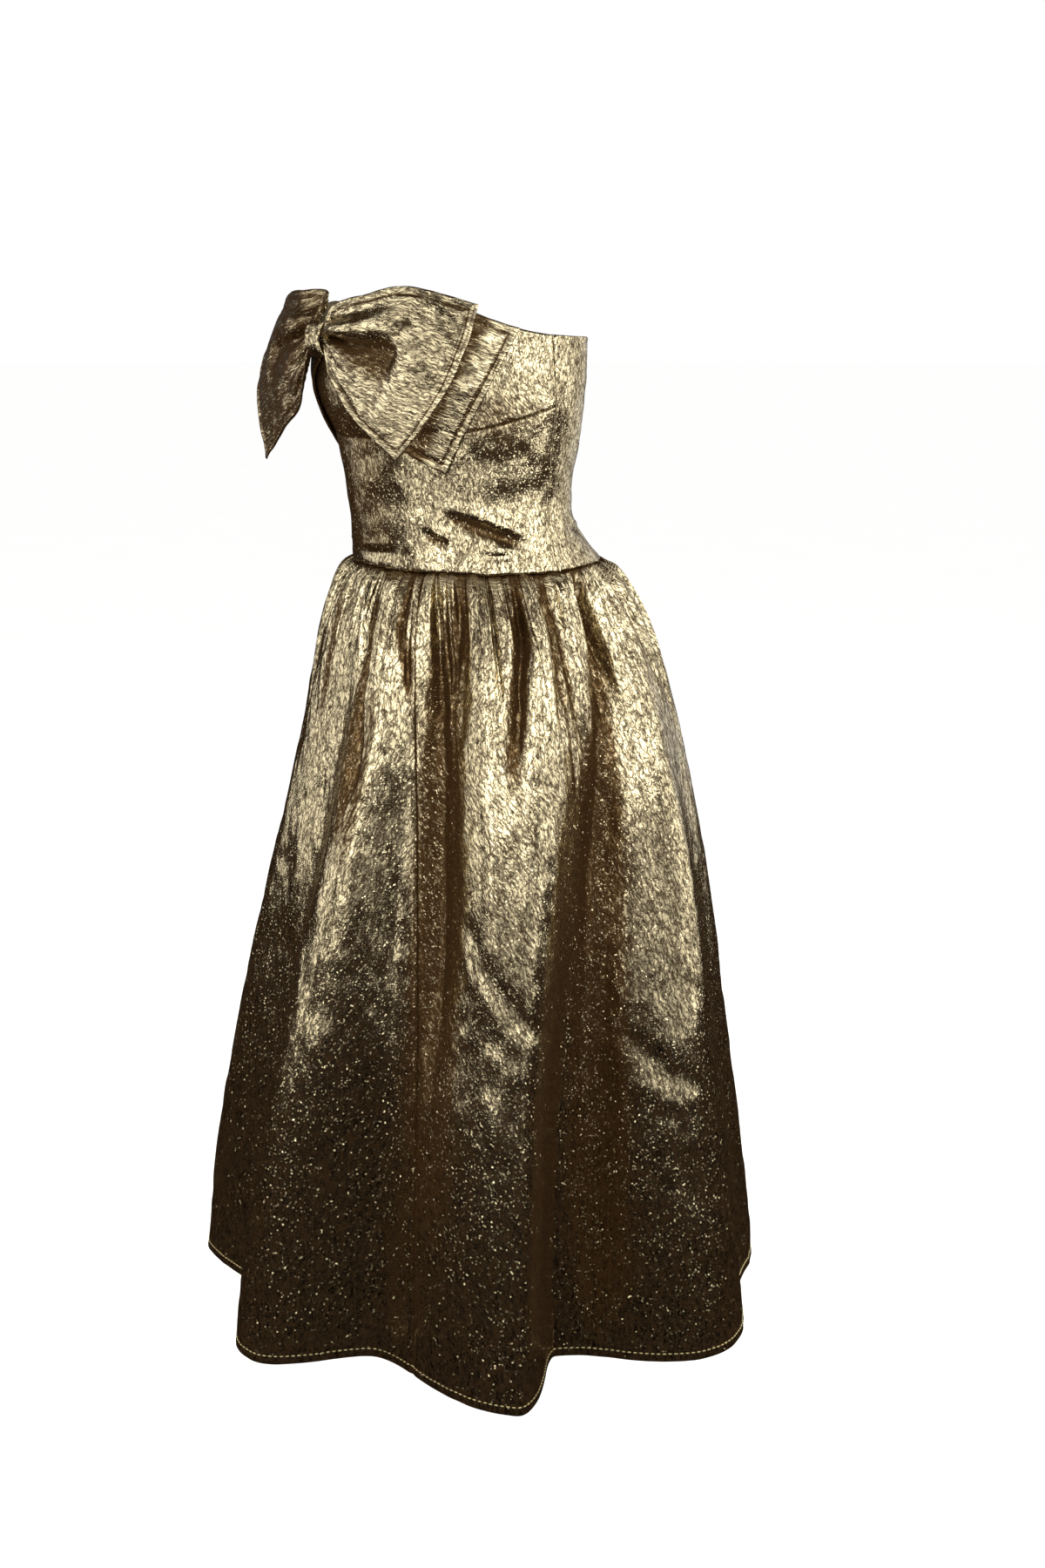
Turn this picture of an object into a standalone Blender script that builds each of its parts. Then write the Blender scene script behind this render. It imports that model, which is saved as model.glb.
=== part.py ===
"""Strapless midi dress with a fitted bodice, a gathered skirt and a wide bow.

The dress keeps the hollow form it has when worn.  Metres, +Z up.  The front
faces -Y and the wearer's left is +X.  The origin is the middle of the waist
seam.  A plan angle is measured from the front (-Y) towards the left (+X).
"""

import bmesh
import bpy
from math import cos, exp, hypot, pi, radians, sin
from mathutils import Vector

# Driving sizes
NECK_HEIGHT = 0.227         # side neckline above the waist seam
SKIRT_LENGTH = 0.760        # waist seam to hem
BODICE_CLOTH = 0.0024       # fused bodice cloth with its turned allowances
SKIRT_CLOTH = 0.0016        # crinkled skirt cloth
SEAM_GAP = 0.0003           # left between two sewn pieces
HEM_DEPTH = 0.008           # rolled hem
HEM_THICKNESS = 0.0028

# Gathers: small even pleats that fade below the waist seam
GATHER_COUNT = 60
COLUMNS_PER_GATHER = 4
FRONT_GATHERS = 13          # gathers taken by the front panel
# Slow waves that make the gathers uneven: size, turn from one gather to the next, start
GATHER_WAVES = ((0.30, 1.85, 0.0), (0.22, 0.95, 1.0))

# Bodice seams
BUST_SEAM_FRONT = 0.128     # underbust seam height at the front
BUST_SEAM_SIDE = 0.161      # and at the side seam
BUST_SEAM_CURVE = 2.5       # how late it starts to rise

# Bodice sections: height, half width, front depth, back depth
BODICE_SECTIONS = (
    (0.000, 0.1320, 0.1190, 0.1300),
    (0.020, 0.1265, 0.1205, 0.1110),
    (0.045, 0.1225, 0.1245, 0.0950),
    (0.070, 0.1225, 0.1280, 0.0915),
    (0.100, 0.1275, 0.1325, 0.0945),
    (0.128, 0.1340, 0.1375, 0.0985),
    (0.160, 0.1410, 0.1475, 0.1010),
    (0.195, 0.1465, 0.1530, 0.1015),
    (0.260, 0.1480, 0.1500, 0.1020),
)

# Neckline: plan angle, height
NECKLINE = (
    (0.0, 0.2250),
    (20.0, 0.2380),
    (42.0, 0.2530),
    (60.0, 0.2530),
    (78.0, 0.2365),
    (97.0, NECK_HEIGHT),
    (135.0, 0.2220),
    (180.0, 0.2190),
)

# Side seam: height, plan angle
SIDE_SEAM = (
    (0.000, 101.5),
    (0.070, 99.5),
    (0.150, 97.0),
    (0.250, 91.0),
)

# Skirt sections: drop, half width, front depth, back depth, gather reach
SKIRT_SECTIONS = (
    (0.000, 0.1320, 0.1190, 0.1300, 0.0008),
    (0.012, 0.1420, 0.1290, 0.1420, 0.0030),
    (0.040, 0.1590, 0.1430, 0.1640, 0.0030),
    (0.080, 0.1800, 0.1550, 0.1850, 0.0021),
    (0.140, 0.2050, 0.1660, 0.2050, 0.0008),
    (0.230, 0.2350, 0.1830, 0.2240, 0.0000),
    (0.350, 0.2690, 0.2090, 0.2400, 0.0000),
    (0.500, 0.3050, 0.2390, 0.2570, 0.0000),
    (0.640, 0.3320, 0.2610, 0.2720, 0.0000),
    (0.752, 0.3490, 0.2740, 0.2820, 0.0000),
    (0.760, 0.3500, 0.2750, 0.2830, 0.0000),
)

# Large skirt folds, one row for each crest or valley in turn round the skirt:
# plan angle at the waist, plan angle at the hem, reach at the hem
SKIRT_FOLDS = (
    (-158.0, -157.0, 0.020),
    (-136.0, -137.0, -0.024),
    (-112.0, -116.0, 0.026),
    (-88.0, -97.0, -0.052),
    (-60.0, -75.0, 0.030),
    (-32.0, -52.0, -0.028),
    (-6.0, -31.0, 0.008),
    (16.0, -7.0, -0.022),
    (33.0, 19.5, 0.058),
    (47.0, 41.0, -0.030),
    (80.0, 67.0, 0.036),
    (114.0, 78.5, -0.080),
    (131.0, 108.0, 0.008),
    (146.0, 130.0, -0.018),
    (160.0, 151.0, 0.006),
    (181.0, 176.0, -0.026),
)
FOLD_GROWTH = 0.75          # how soon the folds open below the waist
FOLD_DRIFT = 2.2            # how soon they reach their place at the hem
PANEL_SEAM_HEM = 48.8       # plan angle of the front panel seams at the hem

# Cups: plan angle and height of each fullest point, and how it spreads
CUP_ANGLE = 30.0
CUP_SPREAD = 24.0
CUP_HEIGHT = 0.178
CUP_RISE = 0.034
CUP_REACH = 0.007

BOW_CLOTH = 0.0024          # two plies pressed together

# Under layer of the bow, which lies on the bodice: share of the way out, then
# plan angle and height of its lower edge, and of its upper edge
BOW_UNDER = (
    (0.00, 7.5, 0.2050, 7.5, 0.2240),
    (0.35, 16.0, 0.1760, 27.0, 0.2390),
    (0.70, 31.0, 0.1230, 56.0, 0.2490),
    (1.00, 50.5, 0.0965, 78.5, 0.2340),
)
UNDER_GAP = 0.0015          # between it and the bodice

# Wings of the bow, which stand clear of the body: share of the way out, then
# how far across, forward and up the lower edge lies, and the upper edge, and
# how far the middle is puffed forward
BOW_WING_LEFT = (
    (0.00, 0.0015, 0.1660, 0.2120, 0.0015, 0.1660, 0.2340, 0.000),
    (0.08, 0.0170, 0.1670, 0.2110, 0.0170, 0.1670, 0.2350, 0.001),
    (0.18, 0.0320, 0.1690, 0.1900, 0.0280, 0.1630, 0.2530, 0.006),
    (0.40, 0.0640, 0.1690, 0.1620, 0.0740, 0.1560, 0.2630, 0.013),
    (0.70, 0.1080, 0.1650, 0.1360, 0.1380, 0.1380, 0.2715, 0.012),
    (1.00, 0.1525, 0.1600, 0.1180, 0.2100, 0.1080, 0.2570, 0.004),
)
BOW_WING_RIGHT = (
    (0.00, 0.0015, 0.1660, 0.2120, 0.0015, 0.1660, 0.2340, 0.000),
    (0.08, 0.0170, 0.1670, 0.2110, 0.0170, 0.1670, 0.2350, 0.001),
    (0.18, 0.0300, 0.1670, 0.1880, 0.0220, 0.1450, 0.2640, 0.006),
    (0.40, 0.0530, 0.1640, 0.1560, 0.0720, 0.1500, 0.2660, 0.013),
    (0.70, 0.1000, 0.1600, 0.1300, 0.1360, 0.1340, 0.2620, 0.012),
    (1.00, 0.1460, 0.1600, 0.0970, 0.2070, 0.1100, 0.2420, 0.004),
)
WING_BULGE = 0.032          # how far the free edge bows out between its corners
PINCH_PLACE = 0.56          # share of the layer's height where the fold leaves the knot
PINCH_SLOPE = -0.05
PINCH_WIDTH = 0.13
PINCH_DEPTH = 0.011
PINCH_END = 0.55            # share of the way out where it has faded
PINCH_SHAPE = 0.8

# Knot band
KNOT_CENTRE = 0.223
KNOT_WIDTH = 0.030
KNOT_HEIGHT = 0.036
KNOT_DEPTH = 0.024
KNOT_GAP = 0.0004
KNOT_NIP = 0.10             # how far the band is drawn in at its middle
KNOT_RIDGE = 0.0012
KNOT_RIDGES = 3

# Concealed zip at the centre back: slider body, the bridge on it and the pull tab
SLIDER_HEIGHT = 0.2035      # of the pull's axis above the waist seam
SLIDER_WIDTH = 0.0056
SLIDER_GAP = 0.0004         # slider to the cloth
SLIDER_FACE = 0.0024        # outer face of the slider body
SLIDER_REACH = 0.0050       # from the pull's axis to the slider's ends
BRIDGE_WIDTH = 0.0018
BRIDGE_INSIDE = 0.0048
BRIDGE_FACE = 0.0060
BRIDGE_POST = 0.0012
BRIDGE_REACH = 0.0040
PULL_AXIS = 0.0036          # distance of the pull's axis from the cloth
PULL_THICKNESS = 0.0010
PULL_WINDOW = 0.0030        # width of the opening that the bridge passes through
PULL_BAR = 0.0010
PULL_WIDTH = 0.0052         # at its window
PULL_DROP = 0.0052          # from the axis down to the solid tab
# The solid tab below the window: distance below the axis, width
PULL_TAB = (
    (PULL_DROP, PULL_WIDTH),
    (0.0144, 0.0066),
    (0.0204, 0.0066),
    (0.0230, 0.0053),
    (0.0240, 0.0026),
)

# Facets
BODICE_COLUMNS = 36
BACK_COLUMNS = 14
BUST_ROWS = 5
MIDRIFF_ROWS = 5
SKIRT_ROWS = (0.0, 0.012, 0.040, 0.085, 0.160, 0.280, 0.460, 0.7512, 0.7535, SKIRT_LENGTH)
UNDER_COLUMNS = 12
UNDER_ROWS = 7
WING_COLUMNS = 12
WING_ROWS = 10
KNOT_COLUMNS = 5
KNOT_TURNS = 18
TINY = 0.0005               # step for reading a surface's slope
SHARP_ANGLE = 50.0          # edges sharper than this stay crisp

BODICE_COLOUR = (0.36, 0.27, 0.13, 1.0)
SKIRT_COLOUR = (0.33, 0.24, 0.11, 1.0)
BOW_COLOUR = (0.38, 0.29, 0.14, 1.0)
METAL_COLOUR = (0.55, 0.47, 0.28, 1.0)
ROUGHNESS = 0.35
CLOTH_METALLIC = 0.9

GATHER_PITCH = 360.0 / GATHER_COUNT
PANEL_SEAM_WAIST = GATHER_PITCH * FRONT_GATHERS / 2


def read_table(table, position):
    """The columns of a table at a position, on a smooth curve through its rows."""
    last = len(table) - 1
    if position <= table[0][0]:
        return table[0][1:]
    if position >= table[last][0]:
        return table[last][1:]
    row = max(i for i in range(last) if table[i][0] <= position)
    before, start, end, after = (table[min(max(row + step, 0), last)] for step in (-1, 0, 1, 2))
    span = end[0] - start[0]
    share = (position - start[0]) / span
    values = []
    for column in range(1, len(start)):
        slope_in = (end[column] - before[column]) / (end[0] - before[0]) * span
        slope_out = (after[column] - start[column]) / (after[0] - start[0]) * span
        values.append(
            (2 * share**3 - 3 * share**2 + 1) * start[column]
            + (share**3 - 2 * share**2 + share) * slope_in
            + (3 * share**2 - 2 * share**3) * end[column]
            + (share**3 - share**2) * slope_out
        )
    return values


def plan_point(angle, radius, height):
    """The point at a plan angle in degrees."""
    return Vector((radius * sin(radians(angle)), -radius * cos(radians(angle)), height))


def oval_radius(angle, half_width, front_depth, back_depth):
    """Radius of a plan oval whose front and back halves differ in depth."""
    depth = front_depth if cos(radians(angle)) > 0 else back_depth
    return 1 / hypot(sin(radians(angle)) / half_width, cos(radians(angle)) / depth)


def neck_height(angle):
    return read_table(NECKLINE, abs(angle))[0]


def side_seam_angle(height):
    return read_table(SIDE_SEAM, height)[0]


def bust_seam_height(angle):
    """The underbust seam is level in front and rises towards the side seam."""
    share = min(abs(angle) / side_seam_angle(BUST_SEAM_SIDE), 1.0)
    return BUST_SEAM_FRONT + (BUST_SEAM_SIDE - BUST_SEAM_FRONT) * share**BUST_SEAM_CURVE


def cup_reach(angle, height):
    """How far the two soft cups stand out of the plain oval."""
    across = (abs(angle) - CUP_ANGLE) / CUP_SPREAD
    up = (height - CUP_HEIGHT) / CUP_RISE
    return CUP_REACH * exp(-across * across - up * up)


def bodice_radius(angle, height):
    return oval_radius(angle, *read_table(BODICE_SECTIONS, height)) + cup_reach(angle, height)


def bodice_point(angle, height):
    return plan_point(angle, bodice_radius(angle, height), height)


def bust_front_point(across, share):
    """The bust band: across runs from the right side seam (-1) to the left (1)."""
    level = across * side_seam_angle(BUST_SEAM_SIDE)
    low = bust_seam_height(level)
    height = low + (neck_height(level) - low) * share
    return bodice_point(across * side_seam_angle(height), height)


def midriff_point(across, share):
    """The lower front, from the waist seam (0) to the underbust seam (1)."""
    height = bust_seam_height(across * side_seam_angle(BUST_SEAM_SIDE)) * share
    return bodice_point(across * side_seam_angle(height), height)


def back_point(side):
    """A back panel: across runs from the side seam (0) to the centre back (1)."""

    def point(across, rise):
        seam = side_seam_angle(BUST_SEAM_SIDE)
        level = seam + (180.0 - seam) * across
        height = BUST_SEAM_SIDE * min(rise, 1.0)
        height += (neck_height(level) - BUST_SEAM_SIDE) * max(rise - 1.0, 0.0)
        edge = side_seam_angle(height)
        return bodice_point(side * (edge + (180.0 - edge) * across), height)

    return point


def panel_angle(waist_angle, share):
    """Where a thread that starts at a waist angle has drifted to, down the skirt."""
    seam = PANEL_SEAM_WAIST
    if abs(waist_angle) <= seam:
        hem_angle = waist_angle * PANEL_SEAM_HEM / seam
    else:
        beyond = (abs(waist_angle) - seam) / (180.0 - seam)
        hem_angle = PANEL_SEAM_HEM + (180.0 - PANEL_SEAM_HEM) * beyond
        hem_angle = hem_angle if waist_angle > 0 else -hem_angle
    return waist_angle + (hem_angle - waist_angle) * settled(share)


def settled(share):
    return 1 - (1 - share) ** FOLD_DRIFT


def fold_reach(angle, share):
    """How far the large folds stand out of the plain oval, at a share of the length."""
    places = []
    for waist_angle, hem_angle, reach in SKIRT_FOLDS:
        places.append((waist_angle + (hem_angle - waist_angle) * settled(share), reach))
    places.append((places[0][0] + 360.0, places[0][1]))
    if angle < places[0][0]:
        angle += 360.0
    for (start, reach_in), (end, reach_out) in zip(places, places[1:]):
        if start <= angle <= end:
            turn = (1 - cos(pi * (angle - start) / (end - start))) / 2
            return (reach_in + (reach_out - reach_in) * turn) * share**FOLD_GROWTH
    return 0.0


def gather_reach(waist_angle, reach):
    """One gather's swing, uneven from gather to gather."""
    number = waist_angle / GATHER_PITCH
    uneven = 1 + sum(size * sin(turn * number + start) for size, turn, start in GATHER_WAVES)
    return reach * uneven * cos(2 * pi * number)


def skirt_point(waist_angle, drop):
    share = min(max(drop / SKIRT_LENGTH, 0.0), 1.0)
    angle = panel_angle(waist_angle, share)
    half_width, front_depth, back_depth, reach = read_table(SKIRT_SECTIONS, drop)
    radius = oval_radius(angle, half_width, front_depth, back_depth)
    radius += fold_reach(angle, share) + gather_reach(waist_angle, reach)
    return plan_point(angle, radius, -drop)


def skirt_thickness(waist_angle, drop):
    return HEM_THICKNESS if drop > SKIRT_LENGTH - HEM_DEPTH else SKIRT_CLOTH


def under_point(side):
    """The inner face of an under layer: out runs from the knot (0) to its outer
    edge (1), up from its lower edge (0) to its upper edge (1)."""

    def point(out, up):
        low, low_height, high, high_height = read_table(BOW_UNDER, out)
        angle = low + (high - low) * up
        height = low_height + (high_height - low_height) * up
        return plan_point(side * angle, bodice_radius(angle, height) + UNDER_GAP, height)

    return point


def wing_point(side, table):
    """The inner face of a wing, with out and up as on an under layer."""

    def point(out, up):
        *edges, crown = read_table(table, out)
        low, high = edges[:3], edges[3:]
        across, forward, height = (start + (end - start) * up for start, end in zip(low, high))
        across += WING_BULGE * max(out, 0.0) ** 2 * sin(pi * up)
        forward += crown * sin(pi * up) - pinch(out, up)
        return Vector((side * across, -forward, height))

    return point


def pinch(out, up):
    """The deep fold that runs out of the knot and fades before the free edge."""
    across = (up - PINCH_PLACE - PINCH_SLOPE * out) / PINCH_WIDTH
    along = max(sin(pi * min(out / PINCH_END, 1.0)), 0.0)
    return PINCH_DEPTH * exp(-across * across) * along**PINCH_SHAPE


def knot_point(across, turn):
    """The band round the middle of the bow: across -1 to 1, turn in degrees."""
    waist = 1 - KNOT_NIP * (1 - across * across)
    half_height = KNOT_HEIGHT / 2 * waist
    half_depth = KNOT_DEPTH / 2 * (waist if turn < 180.0 else 1.0)
    ridge = KNOT_RIDGE * cos(pi * across * KNOT_RIDGES) * max(sin(radians(turn)), 0.0)
    centre = -bodice_radius(0.0, KNOT_CENTRE) - KNOT_GAP - KNOT_DEPTH / 2
    return Vector((
        across * KNOT_WIDTH / 2,
        centre - (half_depth + ridge) * sin(radians(turn)),
        KNOT_CENTRE + (half_height + ridge) * cos(radians(turn)),
    ))


def steps(start, end, count):
    return [start + (end - start) * i / count for i in range(count + 1)]


def seam_edges(values, first=True, last=True):
    """Grid values, each with a shift: half a seam gap inwards at a sewn edge."""
    shifts = [0.0] * len(values)
    if first:
        shifts[0] = SEAM_GAP / 2
    if last:
        shifts[-1] = -SEAM_GAP / 2
    return list(zip(values, shifts))


def free_edges(values):
    return seam_edges(values, first=False, last=False)


def surface_frame(point, u, v):
    """The place on a surface, its two tangents and the normal they give."""
    du = (point(u + TINY, v) - point(u - TINY, v)).normalized()
    dv = (point(u, v + TINY) - point(u, v - TINY)).normalized()
    return point(u, v), du, dv, du.cross(dv).normalized()


def make_material(name, colour, metallic):
    material = bpy.data.materials.new(name)
    material.use_nodes = True
    shader = material.node_tree.nodes["Principled BSDF"]
    shader.inputs["Base Color"].default_value = colour
    shader.inputs["Roughness"].default_value = ROUGHNESS
    shader.inputs["Metallic"].default_value = metallic
    return material


def make_object(name, mesh_data, colour, metallic=CLOTH_METALLIC):
    """One closed body from a bmesh, with its faces pointing out."""
    bmesh.ops.recalc_face_normals(mesh_data, faces=mesh_data.faces)
    mesh = bpy.data.meshes.new(name)
    mesh_data.to_mesh(mesh)
    mesh_data.free()
    mesh.shade_smooth()
    mesh.set_sharp_from_angle(angle=radians(SHARP_ANGLE))
    mesh.materials.append(make_material(name, colour, metallic))
    item = bpy.data.objects.new(name, mesh)
    bpy.context.collection.objects.link(item)
    return item


def make_wall(name, point, columns, rows, thickness, colour, level=True, inwards=-1, ring=False):
    """A closed cloth wall on a surface.

    columns and rows hold (value, shift) pairs.  thickness is a length or a
    function of the place.  A level wall is thickened in its own plane of
    height, which keeps its level seams flat.  A ring joins its last row to
    its first.
    """
    mesh_data = bmesh.new()
    skins = ([], [])
    for v, v_shift in rows:
        outer, inner = [], []
        for u, u_shift in columns:
            place, du, dv, normal = surface_frame(point, u, v)
            if level:
                normal = Vector((normal.x, normal.y, 0.0)).normalized()
                dv = Vector((0.0, 0.0, 1.0 if dv.z > 0 else -1.0))
            place = place + du * u_shift + dv * v_shift
            depth = thickness(u, v) if callable(thickness) else thickness
            outer.append(mesh_data.verts.new(place))
            inner.append(mesh_data.verts.new(place + normal * depth * inwards))
        skins[0].append(outer)
        skins[1].append(inner)
    row_pairs = list(zip(range(len(rows)), range(1, len(rows))))
    if ring:
        row_pairs.append((len(rows) - 1, 0))
    last = len(columns) - 1
    for skin in skins:
        for low, high in row_pairs:
            for i in range(last):
                mesh_data.faces.new((skin[low][i], skin[low][i + 1], skin[high][i + 1], skin[high][i]))
    outer, inner = skins
    for low, high in row_pairs:
        for i in (0, last):
            mesh_data.faces.new((outer[low][i], outer[high][i], inner[high][i], inner[low][i]))
    for row in () if ring else (0, len(rows) - 1):
        for i in range(last):
            mesh_data.faces.new((outer[row][i], outer[row][i + 1], inner[row][i + 1], inner[row][i]))
    return make_object(name, mesh_data, colour)


def make_bodice():
    across = seam_edges(steps(-1.0, 1.0, BODICE_COLUMNS))
    bust_rows = seam_edges(steps(0.0, 1.0, BUST_ROWS), last=False)
    make_wall("bust_front", bust_front_point, across, bust_rows, BODICE_CLOTH, BODICE_COLOUR)
    midriff_rows = seam_edges(steps(0.0, 1.0, MIDRIFF_ROWS))
    make_wall("midriff_front", midriff_point, across, midriff_rows, BODICE_CLOTH, BODICE_COLOUR)
    back_rises = steps(0.0, 1.0, MIDRIFF_ROWS)[:-1] + steps(1.0, 2.0, BUST_ROWS)
    back_rows = seam_edges(back_rises, last=False)
    back_across = seam_edges(steps(0.0, 1.0, BACK_COLUMNS))
    for name, side in (("back_left", 1), ("back_right", -1)):
        make_wall(
            name, back_point(side), back_across, back_rows, BODICE_CLOTH, BODICE_COLOUR, inwards=-side
        )


def make_skirt():
    """Three gathered panels that share one surface."""
    column = GATHER_PITCH / COLUMNS_PER_GATHER
    seam = PANEL_SEAM_WAIST
    rows = seam_edges(SKIRT_ROWS, last=False)
    panels = (
        ("skirt_front", -seam, seam),
        ("skirt_left", seam, 180.0),
        ("skirt_right", -180.0, -seam),
    )
    for name, start, end in panels:
        angles = steps(start, end, round((end - start) / column))
        make_wall(name, skirt_point, seam_edges(angles), rows, skirt_thickness, SKIRT_COLOUR, inwards=1)


def make_bow():
    for name, side in (("left", 1), ("right", -1)):
        under = free_edges(steps(0.0, 1.0, UNDER_COLUMNS))
        under_rows = free_edges(steps(0.0, 1.0, UNDER_ROWS))
        make_wall(
            "bow_under_" + name, under_point(side), under, under_rows,
            BOW_CLOTH, BOW_COLOUR, level=False, inwards=side,
        )
        wing = free_edges(steps(0.0, 1.0, WING_COLUMNS))
        wing_rows = free_edges(steps(0.0, 1.0, WING_ROWS))
        table = BOW_WING_LEFT if side > 0 else BOW_WING_RIGHT
        make_wall(
            "bow_wing_" + name, wing_point(side, table), wing, wing_rows,
            BOW_CLOTH, BOW_COLOUR, level=False, inwards=side,
        )
    band = free_edges(steps(-1.0, 1.0, KNOT_COLUMNS))
    turns = free_edges(steps(0.0, 360.0, KNOT_TURNS)[:-1])
    make_wall(
        "bow_knot", knot_point, band, turns,
        BOW_CLOTH, BOW_COLOUR, level=False, inwards=1, ring=True,
    )


def make_cells(name, xs, ys, zs, filled, place, colour):
    """One body from the filled cells of a grid, each given by its three numbers."""
    mesh_data = bmesh.new()
    corners = {}

    def corner(i, j, k):
        if (i, j, k) not in corners:
            corners[i, j, k] = mesh_data.verts.new(place(xs[i], ys[j], zs[k]))
        return corners[i, j, k]

    for cell in sorted(filled):
        for axis in range(3):
            for step in (0, 1):
                neighbour = list(cell)
                neighbour[axis] += 2 * step - 1
                if tuple(neighbour) in filled:
                    continue
                loop = []
                for first, second in ((0, 0), (1, 0), (1, 1), (0, 1)):
                    number = list(cell)
                    number[axis] += step
                    number[(axis + 1) % 3] += first
                    number[(axis + 2) % 3] += second
                    loop.append(corner(*number))
                mesh_data.faces.new(loop)
    return make_object(name, mesh_data, colour, metallic=1.0)


def make_zip():
    """The slider with its bridge, and the pull tab that hangs from the bridge."""
    face = bodice_point(180.0, SLIDER_HEIGHT).y
    xs = (-SLIDER_WIDTH / 2, -BRIDGE_WIDTH / 2, BRIDGE_WIDTH / 2, SLIDER_WIDTH / 2)
    ys = (SLIDER_GAP, SLIDER_FACE, BRIDGE_INSIDE, BRIDGE_FACE)
    inside = BRIDGE_REACH - BRIDGE_POST
    zs = (-SLIDER_REACH, -BRIDGE_REACH, -inside, inside, BRIDGE_REACH, SLIDER_REACH)
    body = {(i, 0, k) for i in range(3) for k in range(5)}
    bridge = {(1, 1, 1), (1, 1, 3), (1, 2, 1), (1, 2, 2), (1, 2, 3)}
    make_cells(
        "zip_slider", xs, ys, zs, body | bridge,
        lambda x, y, z: Vector((x, face + y, SLIDER_HEIGHT + z)), METAL_COLOUR,
    )
    make_pull(face + PULL_AXIS)


def make_pull(depth):
    """The pull tab hangs straight down from its axis, which is its origin."""
    window = PULL_WINDOW / PULL_WIDTH
    xs = (-1.0, -window, window, 1.0)
    ys = (-PULL_THICKNESS / 2, PULL_THICKNESS / 2)
    half_widths = {PULL_BAR / 2: PULL_WIDTH / 2, -PULL_BAR / 2: PULL_WIDTH / 2}
    for distance, width in PULL_TAB:
        half_widths[-distance] = width / 2
    zs = list(half_widths)
    filled = {(i, 0, k) for i in range(3) for k in range(len(zs) - 1)} - {(1, 0, 1)}
    pull = make_cells(
        "zip_pull", xs, ys, zs, filled,
        lambda x, y, z: Vector((x * half_widths[z], y, z)), METAL_COLOUR,
    )
    pull.location = (0.0, depth, SLIDER_HEIGHT)


def clear_scene():
    for item in list(bpy.data.objects):
        bpy.data.objects.remove(item, do_unlink=True)


def main():
    clear_scene()
    make_bodice()
    make_skirt()
    make_bow()
    make_zip()


main()
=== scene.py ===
"""Looks of a strapless midi dress in crinkled gold cloth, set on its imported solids.

Metres, +Z up.  The front faces -Y and the wearer's left is +X.  The origin is
the middle of the waist seam.  A plan angle is measured in degrees from the
front (-Y) towards the left (+X), and a drop is measured down from the waist.
"""

from math import cos, pi, radians, sin

import bpy
import numpy as np
from mathutils import Matrix, Vector


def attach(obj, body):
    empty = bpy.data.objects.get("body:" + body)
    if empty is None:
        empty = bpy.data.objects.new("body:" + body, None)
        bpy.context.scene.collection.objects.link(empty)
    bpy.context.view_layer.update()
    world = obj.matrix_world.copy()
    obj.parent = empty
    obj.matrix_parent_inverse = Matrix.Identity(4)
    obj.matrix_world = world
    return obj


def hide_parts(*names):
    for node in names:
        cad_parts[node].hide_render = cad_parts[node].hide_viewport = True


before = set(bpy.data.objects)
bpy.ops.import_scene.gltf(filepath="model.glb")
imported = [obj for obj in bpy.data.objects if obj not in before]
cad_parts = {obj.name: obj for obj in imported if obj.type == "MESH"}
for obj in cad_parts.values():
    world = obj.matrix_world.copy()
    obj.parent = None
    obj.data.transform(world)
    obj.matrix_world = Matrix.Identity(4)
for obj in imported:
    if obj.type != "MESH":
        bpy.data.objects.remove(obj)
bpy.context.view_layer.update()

# Thickness of the cloth, no more than on the solids
BODICE_CLOTH = 0.0022
SKIRT_CLOTH = 0.0014
BOW_CLOTH = 0.0024

# Driving sizes, as on the solids
NECK_HEIGHT = 0.227
SKIRT_LENGTH = 0.760
GATHER_COUNT = 60
FRONT_GATHERS = 13
BUST_SEAM_FRONT = 0.128
BUST_SEAM_SIDE = 0.161
BUST_SEAM_CURVE = 2.5

# Bodice sections: height, half width, front depth, back depth
BODICE_SECTIONS = (
    (0.000, 0.1320, 0.1190, 0.1300),
    (0.020, 0.1265, 0.1205, 0.1110),
    (0.045, 0.1225, 0.1245, 0.0950),
    (0.070, 0.1225, 0.1280, 0.0915),
    (0.100, 0.1275, 0.1325, 0.0945),
    (0.128, 0.1340, 0.1375, 0.0985),
    (0.160, 0.1410, 0.1475, 0.1010),
    (0.195, 0.1465, 0.1530, 0.1015),
    (0.260, 0.1480, 0.1500, 0.1020),
)

# Neckline: plan angle, height
NECKLINE = (
    (0.0, 0.2250),
    (20.0, 0.2380),
    (42.0, 0.2530),
    (60.0, 0.2530),
    (78.0, 0.2365),
    (97.0, NECK_HEIGHT),
    (135.0, 0.2220),
    (180.0, 0.2190),
)

# Side seam: height, plan angle
SIDE_SEAM = ((0.000, 101.5), (0.070, 99.5), (0.150, 97.0), (0.250, 91.0))

# Skirt sections: drop, half width, front depth, back depth, gather reach
SKIRT_SECTIONS = (
    (0.000, 0.1320, 0.1190, 0.1300, 0.0014),
    (0.012, 0.1420, 0.1290, 0.1420, 0.0052),
    (0.040, 0.1590, 0.1430, 0.1640, 0.0060),
    (0.080, 0.1800, 0.1550, 0.1850, 0.0052),
    (0.140, 0.2050, 0.1660, 0.2050, 0.0034),
    (0.230, 0.2350, 0.1830, 0.2240, 0.0016),
    (0.350, 0.2690, 0.2090, 0.2400, 0.0000),
    (0.500, 0.3050, 0.2390, 0.2570, 0.0000),
    (0.640, 0.3320, 0.2610, 0.2720, 0.0000),
    (0.752, 0.3490, 0.2740, 0.2820, 0.0000),
    (0.760, 0.3500, 0.2750, 0.2830, 0.0000),
)

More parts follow.
